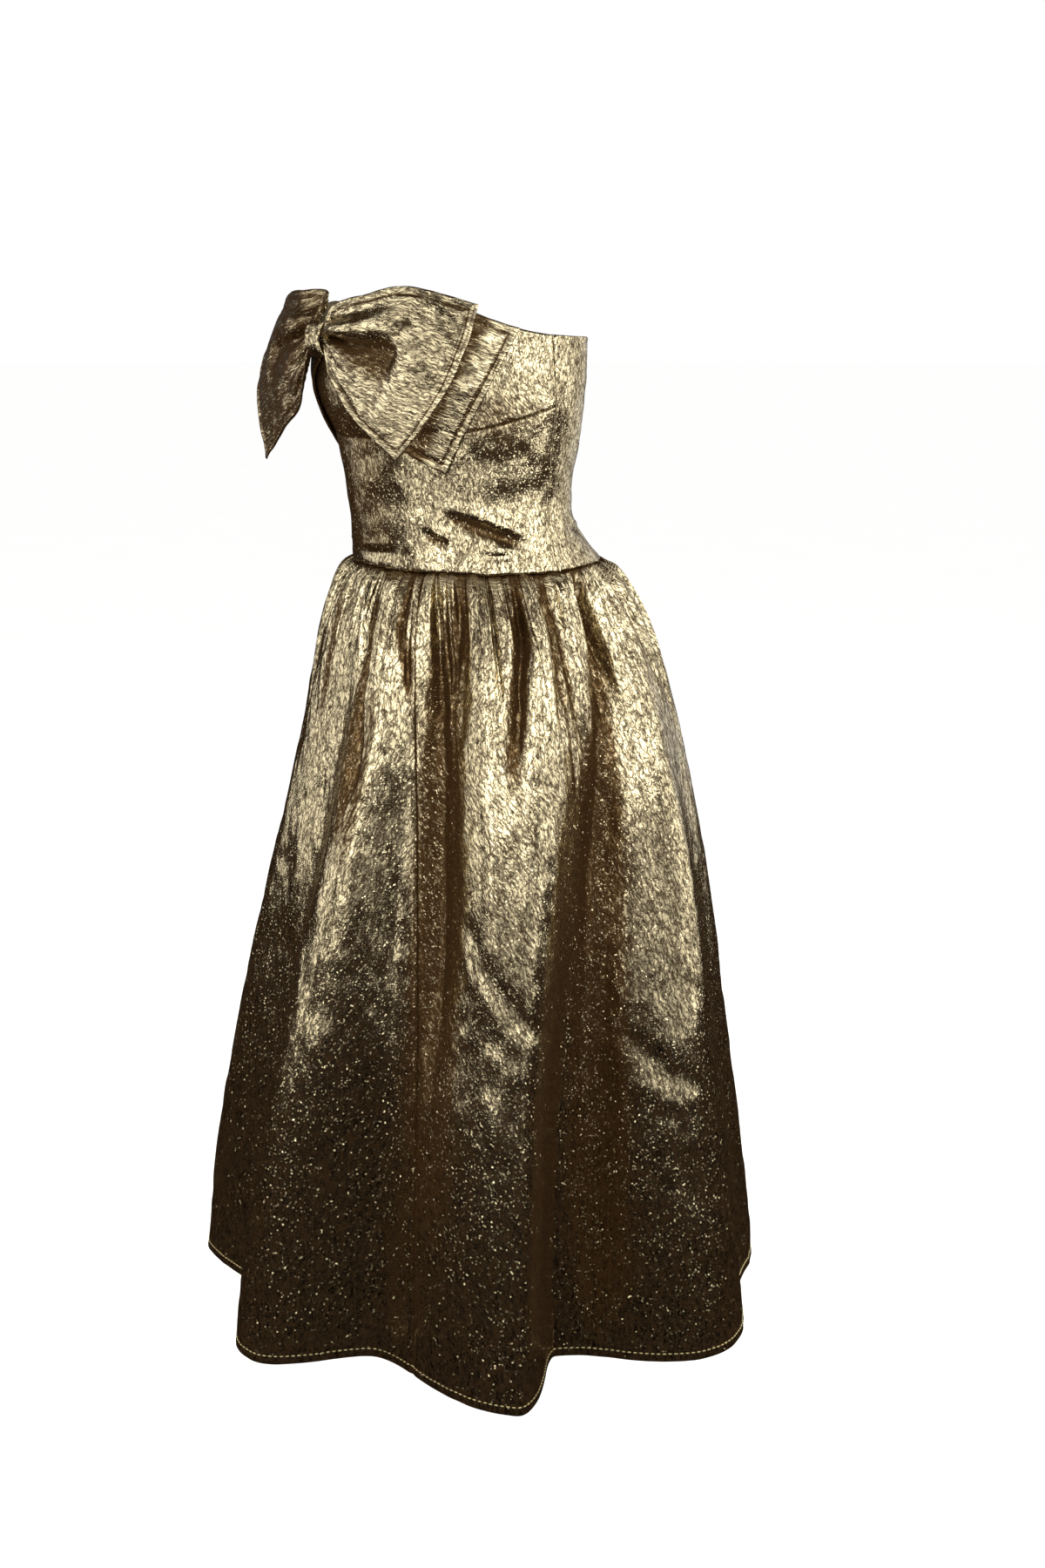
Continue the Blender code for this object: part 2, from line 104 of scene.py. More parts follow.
# Large skirt folds, crest or valley in turn: angle at the waist, at the hem, reach at the hem
SKIRT_FOLDS = (
    (-158.0, -157.0, 0.020),
    (-136.0, -137.0, -0.024),
    (-112.0, -116.0, 0.026),
    (-88.0, -97.0, -0.052),
    (-60.0, -75.0, 0.030),
    (-32.0, -52.0, -0.028),
    (-6.0, -31.0, 0.008),
    (16.0, -7.0, -0.022),
    (33.0, 19.5, 0.058),
    (47.0, 41.0, -0.030),
    (80.0, 67.0, 0.036),
    (114.0, 78.5, -0.080),
    (131.0, 108.0, 0.008),
    (146.0, 130.0, -0.018),
    (160.0, 151.0, 0.006),
    (181.0, 176.0, -0.026),
)

# How the folds grow and drift down the skirt, and the plan angle of the panel seams at the hem
FOLD_GROWTH = 0.75
FOLD_DRIFT = 2.2
PANEL_SEAM_HEM = 48.8

# Cups: plan angle and height of their middle, spread each way, and how far they stand out
CUP_ANGLE, CUP_SPREAD = 30.0, 24.0
CUP_HEIGHT, CUP_RISE = 0.178, 0.034
CUP_REACH = 0.007

# Under layer: share of the way out, angle and height of its lower and of its upper edge
BOW_UNDER = (
    (0.00, 7.5, 0.2050, 7.5, 0.2240),
    (0.35, 16.0, 0.1760, 27.0, 0.2390),
    (0.70, 31.0, 0.1230, 56.0, 0.2490),
    (1.00, 50.5, 0.0965, 78.5, 0.2340),
)
UNDER_GAP = 0.0012

# Wings: share of the way out, across, forward and up of the lower and upper edge, puff
BOW_WING_ROOT = (
    (0.00, 0.0015, 0.1660, 0.2120, 0.0015, 0.1660, 0.2340, 0.000),
    (0.08, 0.0170, 0.1670, 0.2110, 0.0170, 0.1670, 0.2350, 0.001),
)
BOW_WING_LEFT = BOW_WING_ROOT + (
    (0.18, 0.0320, 0.1690, 0.1900, 0.0280, 0.1630, 0.2530, 0.006),
    (0.40, 0.0640, 0.1690, 0.1620, 0.0740, 0.1560, 0.2630, 0.013),
    (0.70, 0.1080, 0.1650, 0.1360, 0.1380, 0.1380, 0.2715, 0.012),
    (1.00, 0.1525, 0.1600, 0.1180, 0.2100, 0.1080, 0.2570, 0.004),
)
BOW_WING_RIGHT = BOW_WING_ROOT + (
    (0.18, 0.0300, 0.1670, 0.1880, 0.0220, 0.1450, 0.2640, 0.006),
    (0.40, 0.0530, 0.1640, 0.1560, 0.0720, 0.1500, 0.2660, 0.013),
    (0.70, 0.1000, 0.1600, 0.1300, 0.1360, 0.1340, 0.2620, 0.012),
    (1.00, 0.1460, 0.1600, 0.0970, 0.2070, 0.1100, 0.2420, 0.004),
)
WING_BULGE = 0.032

KNOT_CENTRE = 0.223
KNOT_WIDTH = 0.030
KNOT_HEIGHT = 0.036
KNOT_DEPTH = 0.024
KNOT_GAP = 0.0004
KNOT_NIP = 0.10

GATHER_PITCH = 360.0 / GATHER_COUNT
PANEL_SEAM_WAIST = GATHER_PITCH * FRONT_GATHERS / 2

# Fineness of the meshes
COARSE = 1
GATHER_COLUMNS = 12 // COARSE
SKIRT_ROWS = 150 // COARSE
BODICE_COLUMNS = 200 // COARSE
BACK_COLUMNS = 84 // COARSE
BUST_ROWS = 56 // COARSE
MIDRIFF_ROWS = 60 // COARSE
BOW_COLUMNS = 150 // COARSE
BOW_ROWS = 90 // COARSE
KNOT_COLUMNS = 28 // COARSE
KNOT_ROWS = 96 // COARSE


# ---------------------------------------------------------------- surfaces


def read_table(table, position):
    """The columns of a table at many positions, on a smooth curve through its rows."""
    rows = np.array(table, float)
    keys, values = rows[:, 0], rows[:, 1:]
    position = np.clip(np.asarray(position, float), keys[0], keys[-1])
    last = len(keys) - 1
    row = np.clip(np.searchsorted(keys, position, side="right") - 1, 0, last - 1)
    before, after = np.maximum(row - 1, 0), np.minimum(row + 2, last)
    span = (keys[row + 1] - keys[row])[..., None]
    share = (position - keys[row])[..., None] / span
    start, end = values[row], values[row + 1]
    slope_in = (end - values[before]) / (keys[row + 1] - keys[before])[..., None] * span
    slope_out = (values[after] - start) / (keys[after] - keys[row])[..., None] * span
    found = (
        (2 * share**3 - 3 * share**2 + 1) * start
        + (share**3 - 2 * share**2 + share) * slope_in
        + (3 * share**2 - 2 * share**3) * end
        + (share**3 - share**2) * slope_out
    )
    return np.moveaxis(found, -1, 0)


def sind(angle):
    return np.sin(np.radians(angle))


def cosd(angle):
    return np.cos(np.radians(angle))


def plan_point(angle, radius, height):
    return np.stack([radius * sind(angle), -radius * cosd(angle), height + 0 * radius], -1)


def oval_radius(angle, half_width, front_depth, back_depth):
    depth = np.where(cosd(angle) > 0, front_depth, back_depth)
    return 1 / np.hypot(sind(angle) / half_width, cosd(angle) / depth)


def neck_height(angle):
    return read_table(NECKLINE, np.abs(angle))[0]


def side_seam_angle(height):
    return read_table(SIDE_SEAM, height)[0]


def bust_seam_height(angle):
    share = np.minimum(np.abs(angle) / side_seam_angle(BUST_SEAM_SIDE), 1.0)
    return BUST_SEAM_FRONT + (BUST_SEAM_SIDE - BUST_SEAM_FRONT) * share**BUST_SEAM_CURVE


def bodice_radius(angle, height):
    across = (np.abs(angle) - CUP_ANGLE) / CUP_SPREAD
    up = (height - CUP_HEIGHT) / CUP_RISE
    cup = CUP_REACH * np.exp(-across * across - up * up)
    return oval_radius(angle, *read_table(BODICE_SECTIONS, height)) + cup


def bodice_point(angle, height):
    return plan_point(angle, bodice_radius(angle, height), height)


def bust_front_place(across, share):
    """Plan angle and height on the bust band, from the right side seam (-1) to the left (1)."""
    level = across * side_seam_angle(BUST_SEAM_SIDE)
    low = bust_seam_height(level)
    height = low + (neck_height(level) - low) * share
    return across * side_seam_angle(height), height


def midriff_place(across, share):
    height = bust_seam_height(across * side_seam_angle(BUST_SEAM_SIDE)) * share
    return across * side_seam_angle(height), height


def back_place(side):
    """A back panel runs from the side seam (0) to the centre back (1)."""

    def place(across, rise):
        seam = side_seam_angle(BUST_SEAM_SIDE)
        level = seam + (180.0 - seam) * across
        height = BUST_SEAM_SIDE * np.minimum(rise, 1.0)
        height = height + (neck_height(level) - BUST_SEAM_SIDE) * np.maximum(rise - 1.0, 0.0)
        edge = side_seam_angle(height)
        return side * (edge + (180.0 - edge) * across), height

    return place


def settled(share):
    return 1 - (1 - share) ** FOLD_DRIFT


def panel_angle(waist_angle, share):
    seam = PANEL_SEAM_WAIST
    beyond = (np.abs(waist_angle) - seam) / (180.0 - seam)
    side = np.sign(waist_angle) * (PANEL_SEAM_HEM + (180.0 - PANEL_SEAM_HEM) * beyond)
    hem_angle = np.where(np.abs(waist_angle) <= seam, waist_angle * PANEL_SEAM_HEM / seam, side)
    return waist_angle + (hem_angle - waist_angle) * settled(share)


def fold_reach(angle, share):
    """How far the large folds stand out of the plain oval."""
    places = []
    for waist_angle, hem_angle, reach in SKIRT_FOLDS:
        places.append((waist_angle + (hem_angle - waist_angle) * settled(share), reach))
    places.append((places[0][0] + 360.0, places[0][1]))
    angle = np.where(angle < places[0][0], angle + 360.0, angle)
    total = np.zeros_like(angle)
    for (start, reach_in), (end, reach_out) in zip(places, places[1:]):
        turn = (1 - np.cos(pi * (angle - start) / (end - start))) / 2
        inside = (angle >= start) & (angle <= end)
        total = np.where(inside, (reach_in + (reach_out - reach_in) * turn) * share**FOLD_GROWTH, total)
    return total


def skirt_place(waist_angle, drop):
    """Plan angle, radius without its gathers, and gather reach of the skirt."""
    share = np.clip(drop / SKIRT_LENGTH, 0.0, 1.0)
    angle = panel_angle(waist_angle, share)
    half_width, front_depth, back_depth, reach = read_table(SKIRT_SECTIONS, drop)
    radius = oval_radius(angle, half_width, front_depth, back_depth) + fold_reach(angle, share)
    return angle, radius, reach


# ---------------------------------------------------------------- relief

LATTICE_SIZE = 256

# Fades of a crease at its start and end, as shares of its length
CREASE_START, CREASE_END = 0.30, 0.35

# Place of a crease's lip and reach of its relief, in half widths
LIP_PLACE = 1.7
CREASE_REACH = 3.5

# Plan angle over which random relief fades before the centre back
BACK_CALM_ANGLE = 7.0

# Wander of the waist seam: size, degrees a bump, seed, and the height that it reaches
WAIST_WAVES = ((0.0013, 14.0, 15), (0.0007, 4.0, 16))
WAIST_WAVE_REACH = 0.012

TINY = 1e-9


def smooth_share(value):
    """Eases a value from 0 to 1."""
    value = np.clip(value, 0.0, 1.0)
    return value * value * (3 - 2 * value)


def ridge(distance, height, place, width):
    """A soft ridge, or a groove where the height is negative, at a distance from an edge."""
    return height * np.exp(-(((distance - place) / width) ** 2))


def soft_noise(x, y, seed):
    """Smooth noise from -1 to 1, one bump about every unit."""
    values = np.random.RandomState(seed).rand(LATTICE_SIZE, LATTICE_SIZE)
    x0, y0 = np.floor(x).astype(int), np.floor(y).astype(int)
    across, up = smooth_share(x - x0), smooth_share(y - y0)

    def corner(i, j):
        return values[(x0 + i) % LATTICE_SIZE, (y0 + j) % LATTICE_SIZE]

    low = corner(0, 0) * (1 - across) + corner(1, 0) * across
    high = corner(0, 1) * (1 - across) + corner(1, 1) * across
    return 2 * (low * (1 - up) + high * up) - 1


def line_distances(x, y, points):
    """Distance of each place to a line, the same with its side, and its share of the way along."""
    steps = np.linalg.norm(np.diff(points, axis=0), axis=1)
    run = np.concatenate([[0.0], np.cumsum(steps)])
    best = np.full(x.shape, np.inf)
    signed = np.zeros_like(x)
    place = np.zeros_like(x)
    for i, step in enumerate(steps):
        direction = (points[i + 1] - points[i]) / step
        dx, dy = x - points[i][0], y - points[i][1]
        along = np.clip(dx * direction[0] + dy * direction[1], 0.0, step)
        off_x, off_y = dx - along * direction[0], dy - along * direction[1]
        distance = np.hypot(off_x, off_y)
        side = np.sign(direction[0] * off_y - direction[1] * off_x)
        closer = distance < best
        best = np.where(closer, distance, best)
        signed = np.where(closer, distance * side, signed)
        place = np.where(closer, run[i] + along, place)
    return best, signed, place / run[-1]


def crease_relief(across, along, creases):
    """Soft troughs and ridges on a surface laid out flat, in metres.

    Each crease has its points (across, along), its half width, its depth,
    negative for a trough, and its lip, the share of the depth that stands up
    beside it.
    """
    total = np.zeros_like(across)
    for points, width, depth, lip in creases:
        points = np.array(points, float)
        low = points.min(0) - CREASE_REACH * width
        high = points.max(0) + CREASE_REACH * width
        near = (across > low[0]) & (across < high[0]) & (along > low[1]) & (along < high[1])
        if not near.any():
            continue
        distance, signed, share = line_distances(across[near], along[near], points)
        fade = smooth_share(share / CREASE_START) * smooth_share((1 - share) / CREASE_END)
        trough = np.exp(-((distance / width) ** 2))
        shoulder = np.exp(-(((signed - LIP_PLACE * width) / width) ** 2))
        total[near] += depth * fade * (trough - lip * shoulder)
    return total


def charted(creases, chart_radius):
    """Creases with their plan angles turned into distances round a body."""
    return [
        ([(radians(angle) * chart_radius, level) for angle, level in line], width, depth, lip)
        for line, width, depth, lip in creases
    ]


def back_calm(angle):
    """Fades random relief towards the centre back, where two pieces meet."""
    return smooth_share((180.0 - np.abs(angle)) / BACK_CALM_ANGLE)


def waist_wave(angle, height):
    """How far the puckered waist seam wanders up or down at a height near it."""
    level = np.zeros_like(angle)
    wander = sum(size * soft_noise(angle / pitch, level, seed) for size, pitch, seed in WAIST_WAVES)
    return wander * back_calm(angle) * np.exp(-((height / WAIST_WAVE_REACH) ** 2))


# ---------------------------------------------------------------- grids


def arc_lengths(points, axis):
    """Distance along the rows or columns of a grid of points, from its first."""
    steps = np.linalg.norm(np.diff(points, axis=axis), axis=-1)
    start = np.zeros_like(np.take(steps, [0], axis=axis))
    return np.concatenate([start, np.cumsum(steps, axis=axis)], axis=axis)


def edge_distances(points):
    """Distance of each grid point to the first and last column and row."""
    u, v = arc_lengths(points, 1), arc_lengths(points, 0)
    return u, u[:, -1:] - u, v, v[-1:, :] - v


def cloth_uv(points):
    """Distances over the cloth from its middle column and its middle row."""
    rows, columns = points.shape[:2]
    u, v = arc_lengths(points, 1), arc_lengths(points, 0)
    u = u - u[:, columns // 2 : columns // 2 + 1]
    v = v - v[rows // 2 : rows // 2 + 1]
    return np.stack([u, v], -1)


def grid_normals(points, outwards):
    du = np.gradient(points, axis=1)
    dv = np.gradient(points, axis=0)
    normal = np.cross(du, dv)
    normal /= np.maximum(np.linalg.norm(normal, axis=-1, keepdims=True), 1e-12)
    return normal * outwards


def grid_quads(here, after):
    """Corners of the squares between the rows of point numbers here and those after them."""
    return np.stack([here[:, :-1], here[:, 1:], after[:, 1:], after[:, :-1]], -1).reshape(-1, 4)


def border_loop(rows, columns):
    """Row and column of each border point of a grid, once round."""
    loop = [(r, 0) for r in range(rows)]
    loop += [(rows - 1, c) for c in range(1, columns)]
    loop += [(r, columns - 1) for r in range(rows - 2, -1, -1)]
    loop += [(0, c) for c in range(columns - 2, 0, -1)]
    return loop


def level_line(points, distance, level):
    """The line on a grid at one distance from its last row."""
    line = []
    for column in range(points.shape[1]):
        keys = distance[::-1, column]
        line.append([np.interp(level, keys, points[::-1, column, axis]) for axis in range(3)])
    return np.array(line)


# ---------------------------------------------------------------- meshes

# Stitches: spacing, length, half thickness, sides, and half the span that their direction is read over
STITCH_PITCH = 0.0058
STITCH_LENGTH = 0.0038
STITCH_RADIUS = 0.00072
STITCH_SIDES = 5
STITCH_PROBE = 0.001

# Rings of a stitch: place as a share of its length, size as a share of its half thickness
STITCH_RINGS = ((-0.5, 0.35), (-0.3, 1.0), (0.3, 1.0), (0.5, 0.35))


def make_mesh(name, vertices, faces, uvs, slots, materials, painted_shades=None):
    """A smooth mesh whose optional last argument gives each vertex painted shade, from 0 to 1."""
    mesh = bpy.data.meshes.new(name)
    mesh.from_pydata(vertices.tolist(), [], faces)
    if painted_shades is not None:
        attribute = mesh.attributes.new("painted_shade", "FLOAT", "POINT")
        attribute.data.foreach_set("value", painted_shades.astype(np.float32))
    layer = mesh.uv_layers.new(name="cloth")
    corners = np.zeros(len(mesh.loops), int)
    mesh.loops.foreach_get("vertex_index", corners)
    layer.data.foreach_set("uv", uvs[corners].astype(np.float32).ravel())
    mesh.polygons.foreach_set("material_index", np.array(slots, np.int32))
    for material in materials:
        mesh.materials.append(material)
    mesh.shade_smooth()
    mesh.update()
    item = bpy.data.objects.new(name, mesh)
    bpy.context.scene.collection.objects.link(item)
    return item


def rounded_rim(points, inner, loop, free_edges):
    """The middle line of a cloth's border, pushed out where the edge isn't sewn."""
    rows, columns = points.shape[:2]
    middle = (points + inner) / 2
    rim = []
    for r, c in loop:
        out = np.zeros(3)
        for free, here, neighbour in (
            (free_edges[0], c == 0, (r, min(c + 1, columns - 1))),
            (free_edges[1], c == columns - 1, (r, max(c - 1, 0))),
            (free_edges[2], r == 0, (min(r + 1, rows - 1), c)),
            (free_edges[3], r == rows - 1, (max(r - 1, 0), c)),
        ):
            if here and free:
                step = middle[r, c] - middle[neighbour]
                out += step / max(np.linalg.norm(step), TINY)
        length = np.linalg.norm(out)
        depth = np.linalg.norm(points[r, c] - inner[r, c]) / 2
        rim.append(middle[r, c] + (out / length * depth if length > 0 else 0.0))
    return np.array(rim)


def make_cloth(name, points, thickness, outwards, materials, free_edges, painted_shade):
    """A closed thin shell whose outer face is a grid of points.

    free_edges names the rounded edges that aren't sewn: first and last column,
    first and last row.
    """
    rows, columns = points.shape[:2]
    depth = np.broadcast_to(thickness, (rows, columns))[..., None]
    inner = points - grid_normals(points, outwards) * depth
    loop = border_loop(rows, columns)
    rim = rounded_rim(points, inner, loop, free_edges)
    count = rows * columns
    index = np.arange(count).reshape(rows, columns)
    quads = grid_quads(index[:-1], index[1:])
    if outwards < 0:
        quads = quads[:, ::-1]
    faces = quads.tolist() + (quads[:, ::-1] + count).tolist()
    slots = [0] * len(quads) + [1] * len(quads)
    for i, here in enumerate(loop):
        j = (i + 1) % len(loop)
        a, b = int(index[here]), int(index[loop[j]])
        rim_a, rim_b = 2 * count + i, 2 * count + j
        for face, slot in (((a, b, rim_b, rim_a), 0), ((rim_a, rim_b, b + count, a + count), 1)):
            faces.append(face if outwards > 0 else face[::-1])
            slots.append(slot)
    uv = cloth_uv(points)
    vertices = np.concatenate([points.reshape(-1, 3), inner.reshape(-1, 3), rim])
    uvs = np.concatenate([uv.reshape(-1, 2), uv.reshape(-1, 2), np.array([uv[p] for p in loop])])
    # Strength of the painted shade at every vertex, the rim included
    painted_shades = np.concatenate([painted_shade.ravel(), painted_shade.ravel(), np.array([painted_shade[p] for p in loop])])
    return make_mesh(name, vertices, faces, uvs, slots, materials, painted_shades)


def make_ring(name, points, thickness, materials):
    """A closed band whose last row joins its first, and whose rows run round its outside."""
    rows, columns = points.shape[:2]
    padded = np.concatenate([points[-1:], points, points[:1]])
    inner = points - grid_normals(padded, -1)[1:-1] * thickness
    count = rows * columns
    u = arc_lengths(points, 1)
    v = np.repeat(arc_lengths(points, 0)[:, :1], columns, 1)
    uv = np.stack([u, v], -1).reshape(-1, 2)
    index = np.arange(count).reshape(rows, columns)
    after = np.roll(index, -1, 0)
    quads = grid_quads(index, after)[:, ::-1]
    faces = quads.tolist() + (quads[:, ::-1] + count).tolist()
    slots = [0] * len(quads) + [1] * len(quads)
    for column, turn in ((0, -1), (columns - 1, 1)):
        for a, b in zip(index[:, column].tolist(), after[:, column].tolist()):
            faces.append([a, b, b + count, a + count][::turn])
            slots.append(0)
    vertices = np.concatenate([points.reshape(-1, 3), inner.reshape(-1, 3)])
    return make_mesh(name, vertices, faces, np.concatenate([uv, uv]), slots, materials)


def stitch_rings(centre, along):
    """The points of one stitch, ring by ring."""
    side = np.cross(along, (0.0, 0.0, 1.0))
    side /= max(np.linalg.norm(side), TINY)
    up = np.cross(side, along)
    points = []
    for place, size in STITCH_RINGS:
        for k in range(STITCH_SIDES):
            turn = 2 * pi * k / STITCH_SIDES
            offset = cos(turn) * side + sin(turn) * up
            points.append(centre + along * place * STITCH_LENGTH + offset * STITCH_RADIUS * size)
    return points


def stitch_faces(first):
    """The faces of one stitch whose first point has this number."""
    faces = []
    sides = STITCH_SIDES
    last_ring = first + (len(STITCH_RINGS) - 1) * sides
    for start in range(first, last_ring, sides):
        for k in range(sides):
            a, b = start + k, start + (k + 1) % sides
            faces.append([a, b, b + sides, a + sides])
    faces.append([first + k for k in range(sides)][::-1])
    faces.append([last_ring + k for k in range(sides)])
    return faces


def make_stitches(name, line, material):
    """Short rounded stitches along a line, as one mesh."""
    steps = np.linalg.norm(np.diff(line, axis=0), axis=1)
    run = np.concatenate([[0.0], np.cumsum(steps)])

    def point_at(distance):
        return np.array([np.interp(distance, run, line[:, axis]) for axis in range(3)])

    vertices, faces = [], []
    for middle in np.arange(STITCH_PITCH / 2, run[-1], STITCH_PITCH):
        before, after = point_at(middle - STITCH_PROBE), point_at(middle + STITCH_PROBE)
        along = (after - before) / max(np.linalg.norm(after - before), TINY)
        faces += stitch_faces(len(vertices))
        vertices += stitch_rings((before + after) / 2, along)
    vertices = np.array(vertices)
    piece = make_mesh(name, vertices, faces, vertices[:, :2], [0] * len(faces), [material])
    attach(piece, "dress")
    return piece


def dress_piece(piece, node):
    """Hangs a finished piece on the dress in its solid's place, and hides that solid."""
    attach(piece, "dress")
    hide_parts(node)


# ---------------------------------------------------------------- materials

# Colours of the cloth: its foil and its foil in painted shade, its warp and its warp in painted shade,
# and the warp of its reverse
FOIL = (0.93, 0.795, 0.505)
PAINTED_SHADE_FOIL = (0.130, 0.078, 0.031)
WARP = (0.018, 0.0095, 0.0040)
PAINTED_SHADE_WARP = (0.024, 0.0120, 0.0042)
DARK_WARP = (0.026, 0.016, 0.008)
THREAD_COLOUR = (0.80, 0.68, 0.38)
BRASS_COLOUR = (0.62, 0.50, 0.26)
MIDDLE_GREY = (0.5, 0.5, 0.5)

# Puffs of the crinkle: width and length as shares of the grain, and the turn of the fine ones
COARSE_PUFF = (2.2, 1.8)
FINE_PUFF = (1.1, 1.0)
FINE_TURN = -0.8

# Heights of the relief, as shares of the crinkle
COARSE_HEIGHT = 1.3
FINE_HEIGHT = 0.8
WEAVE_HEIGHT = 0.035

# Bumps, flakes or threads in a metre
SWAY_PITCH = 90.0
PATCH_PITCH = 26.0
WEAVE_PITCH = 130.0
FLAKE_PITCH = 780.0
SCRATCH_PITCH = 1500.0

# How rare the flakes are that tilt far or that the painted shade spares so that they glint, the least
# tilt, and how much painted shade those glints take away
LOOSE_RARITY = 19.0
GLINT_RARITY = 9.0
LEAST_TILT = 0.05
GLINT_SHARE = 0.85

# How sharply foil gives way to warp in a valley, and how much of the foil is left bare where shade is
# painted
COARSE_VALLEY = 0.8
VALLEY_SHARPNESS = 14.0
PAINTED_SHADE_BARE = 0.30

# Scratches of metal: added roughness, gain of the bright ones, and the noise of dull and bright ones
SCRATCH_DULLING = 0.25
SCRATCH_BRIGHTENING = 1.25
SCRATCH_DULL, SCRATCH_BRIGHT = 0.35, 0.65

# Ranges: value from, value to, result from, result to
PATCH_STRENGTH = (0.35, 0.65, 0.55, 1.00)
PATCH_COVER = (0.35, 0.60, 0.76, 1.00)
PAINTED_SHADE_PUFFS = (0.02, 0.17, 1.60, 0.80)

# Places of the two colours and of their mix among the sockets of a colour mix
FIRST_COLOUR, SECOND_COLOUR, MIXED_COLOUR = 6, 7, 2


def add_node(tree, kind, inputs=None, **properties):
    """A shader node, with its inputs given as values or as other nodes' outputs."""
    item = tree.nodes.new(kind)
    for key, value in properties.items():
        setattr(item, key, value)
    for key, value in (inputs or {}).items():
        if isinstance(value, bpy.types.NodeSocket):
            tree.links.new(value, item.inputs[key])
        else:
            item.inputs[key].default_value = value
    return item


def vector_math(tree, operation, first, second=None, scale=None):
    inputs = {0: first}
    if second is not None:
        inputs[1] = second
    if scale is not None:
        inputs["Scale"] = scale
    return add_node(tree, "ShaderNodeVectorMath", inputs, operation=operation).outputs[0]


def math_node(tree, operation, first, second=0.0, clamp=False):
    inputs = {0: first, 1: second}
    return add_node(tree, "ShaderNodeMath", inputs, operation=operation, use_clamp=clamp).outputs[0]


def add(tree, first, second):
    return math_node(tree, "ADD", first, second)


def multiply(tree, first, second, clamp=False):
    return math_node(tree, "MULTIPLY", first, second, clamp)


def map_range(tree, value, low, high, low_result, high_result):
    inputs = {
        "Value": value, "From Min": low, "From Max": high, "To Min": low_result, "To Max": high_result
    }
    return add_node(tree, "ShaderNodeMapRange", inputs).outputs[0]


def noise_node(tree, place, pitch, detail):
    return add_node(tree, "ShaderNodeTexNoise", {"Vector": place, "Scale": pitch, "Detail": detail})


def colour_ramp(tree, factor, stops):
    item = add_node(tree, "ShaderNodeValToRGB", {"Fac": factor})
    for element, (place, colour) in zip(item.color_ramp.elements, stops):
        element.position = place
        element.color = (*colour, 1.0)
    return item.outputs["Color"]


def blend_colours(tree, factor, first, second):
    inputs = {"Factor": factor, FIRST_COLOUR: (*first, 1.0), SECOND_COLOUR: (*second, 1.0)}
    return add_node(tree, "ShaderNodeMix", inputs, data_type="RGBA").outputs[MIXED_COLOUR]


def start_material(name):
    material = bpy.data.materials.new(name)
    material.use_nodes = True
    tree = material.node_tree
    return material, tree, tree.nodes["Principled BSDF"]


def folded_streaks(tree, place, width, length, turn):
    """Noise drawn out into streaks and folded at its middle: puffs with sharp valleys between."""
    turned = add_node(
        tree, "ShaderNodeMapping",
        {"Vector": place, "Rotation": (0.0, 0.0, radians(turn)), "Scale": (1 / width, 1 / length, 1.0)},
    ).outputs[0]
    streaks = noise_node(tree, turned, 1.0, 2.0).outputs["Fac"]
    return math_node(tree, "ABSOLUTE", math_node(tree, "SUBTRACT", streaks, 0.5))


def swayed_place(tree, place, size):
    """The place on the cloth, shifted a little to and fro so that no puff is straight."""
    waves = noise_node(tree, place, SWAY_PITCH, 2.0).outputs["Color"]
    sway = vector_math(tree, "SUBTRACT", waves, MIDDLE_GREY)
    return vector_math(tree, "ADD", place, vector_math(tree, "SCALE", sway, scale=size))


def cloth_relief(tree, place, coarse, fine, patches, crinkle):
    """The normal of the crinkle and the weave, flatter in some patches."""
    puffs = add(tree, multiply(tree, coarse, COARSE_HEIGHT), multiply(tree, fine, FINE_HEIGHT))
    along = add_node(tree, "ShaderNodeMapping", {"Vector": place, "Scale": (0.0, 1.0, 1.0)}).outputs[0]
    weave = add_node(
        tree, "ShaderNodeTexWave",
        {"Vector": along, "Scale": WEAVE_PITCH, "Distortion": 0.6, "Detail": 0.0},
        bands_direction="Y",
    ).outputs["Fac"]
    height = add(tree, puffs, multiply(tree, weave, WEAVE_HEIGHT))
    strength = map_range(tree, patches, *PATCH_STRENGTH)
    inputs = {"Height": height, "Distance": crinkle, "Strength": strength}
    return add_node(tree, "ShaderNodeBump", inputs).outputs["Normal"]


def tilted_flakes(tree, bumped, flakes, chance, loose):
    """The normal of the foil's flakes, most tilted a little and a few far."""
    far = multiply(tree, math_node(tree, "POWER", chance, LOOSE_RARITY), loose)
    tilt = vector_math(tree, "SUBTRACT", flakes, MIDDLE_GREY)
    tilt = vector_math(tree, "SCALE", tilt, scale=add(tree, far, LEAST_TILT))
    return vector_math(tree, "NORMALIZE", vector_math(tree, "ADD", bumped, tilt))


def ragged_painted_shade(tree, coarse, chance):
    """How strong the painted shade is at a spot, made ragged by the puffs and broken by glints."""
    painted_shade = add_node(tree, "ShaderNodeAttribute", attribute_name="painted_shade").outputs["Fac"]
    ragged = multiply(tree, painted_shade, map_range(tree, coarse, *PAINTED_SHADE_PUFFS), clamp=True)
    glints = multiply(tree, math_node(tree, "POWER", chance, GLINT_RARITY), GLINT_SHARE)
    return multiply(tree, ragged, math_node(tree, "SUBTRACT", 1.0, glints), clamp=True)


def foil_cover(tree, coarse, fine, patches, painted_shade, foil_share):
    """The share of foil: none in the valleys, and less in some patches and where shade is painted."""
    low = math_node(tree, "MINIMUM", multiply(tree, coarse, COARSE_VALLEY), fine)
    valley = multiply(tree, low, VALLEY_SHARPNESS, clamp=True)
    dense = map_range(tree, patches, *PATCH_COVER)
    shown = math_node(tree, "SUBTRACT", foil_share, multiply(tree, painted_shade, PAINTED_SHADE_BARE))
    return multiply(tree, multiply(tree, valley, dense), shown)


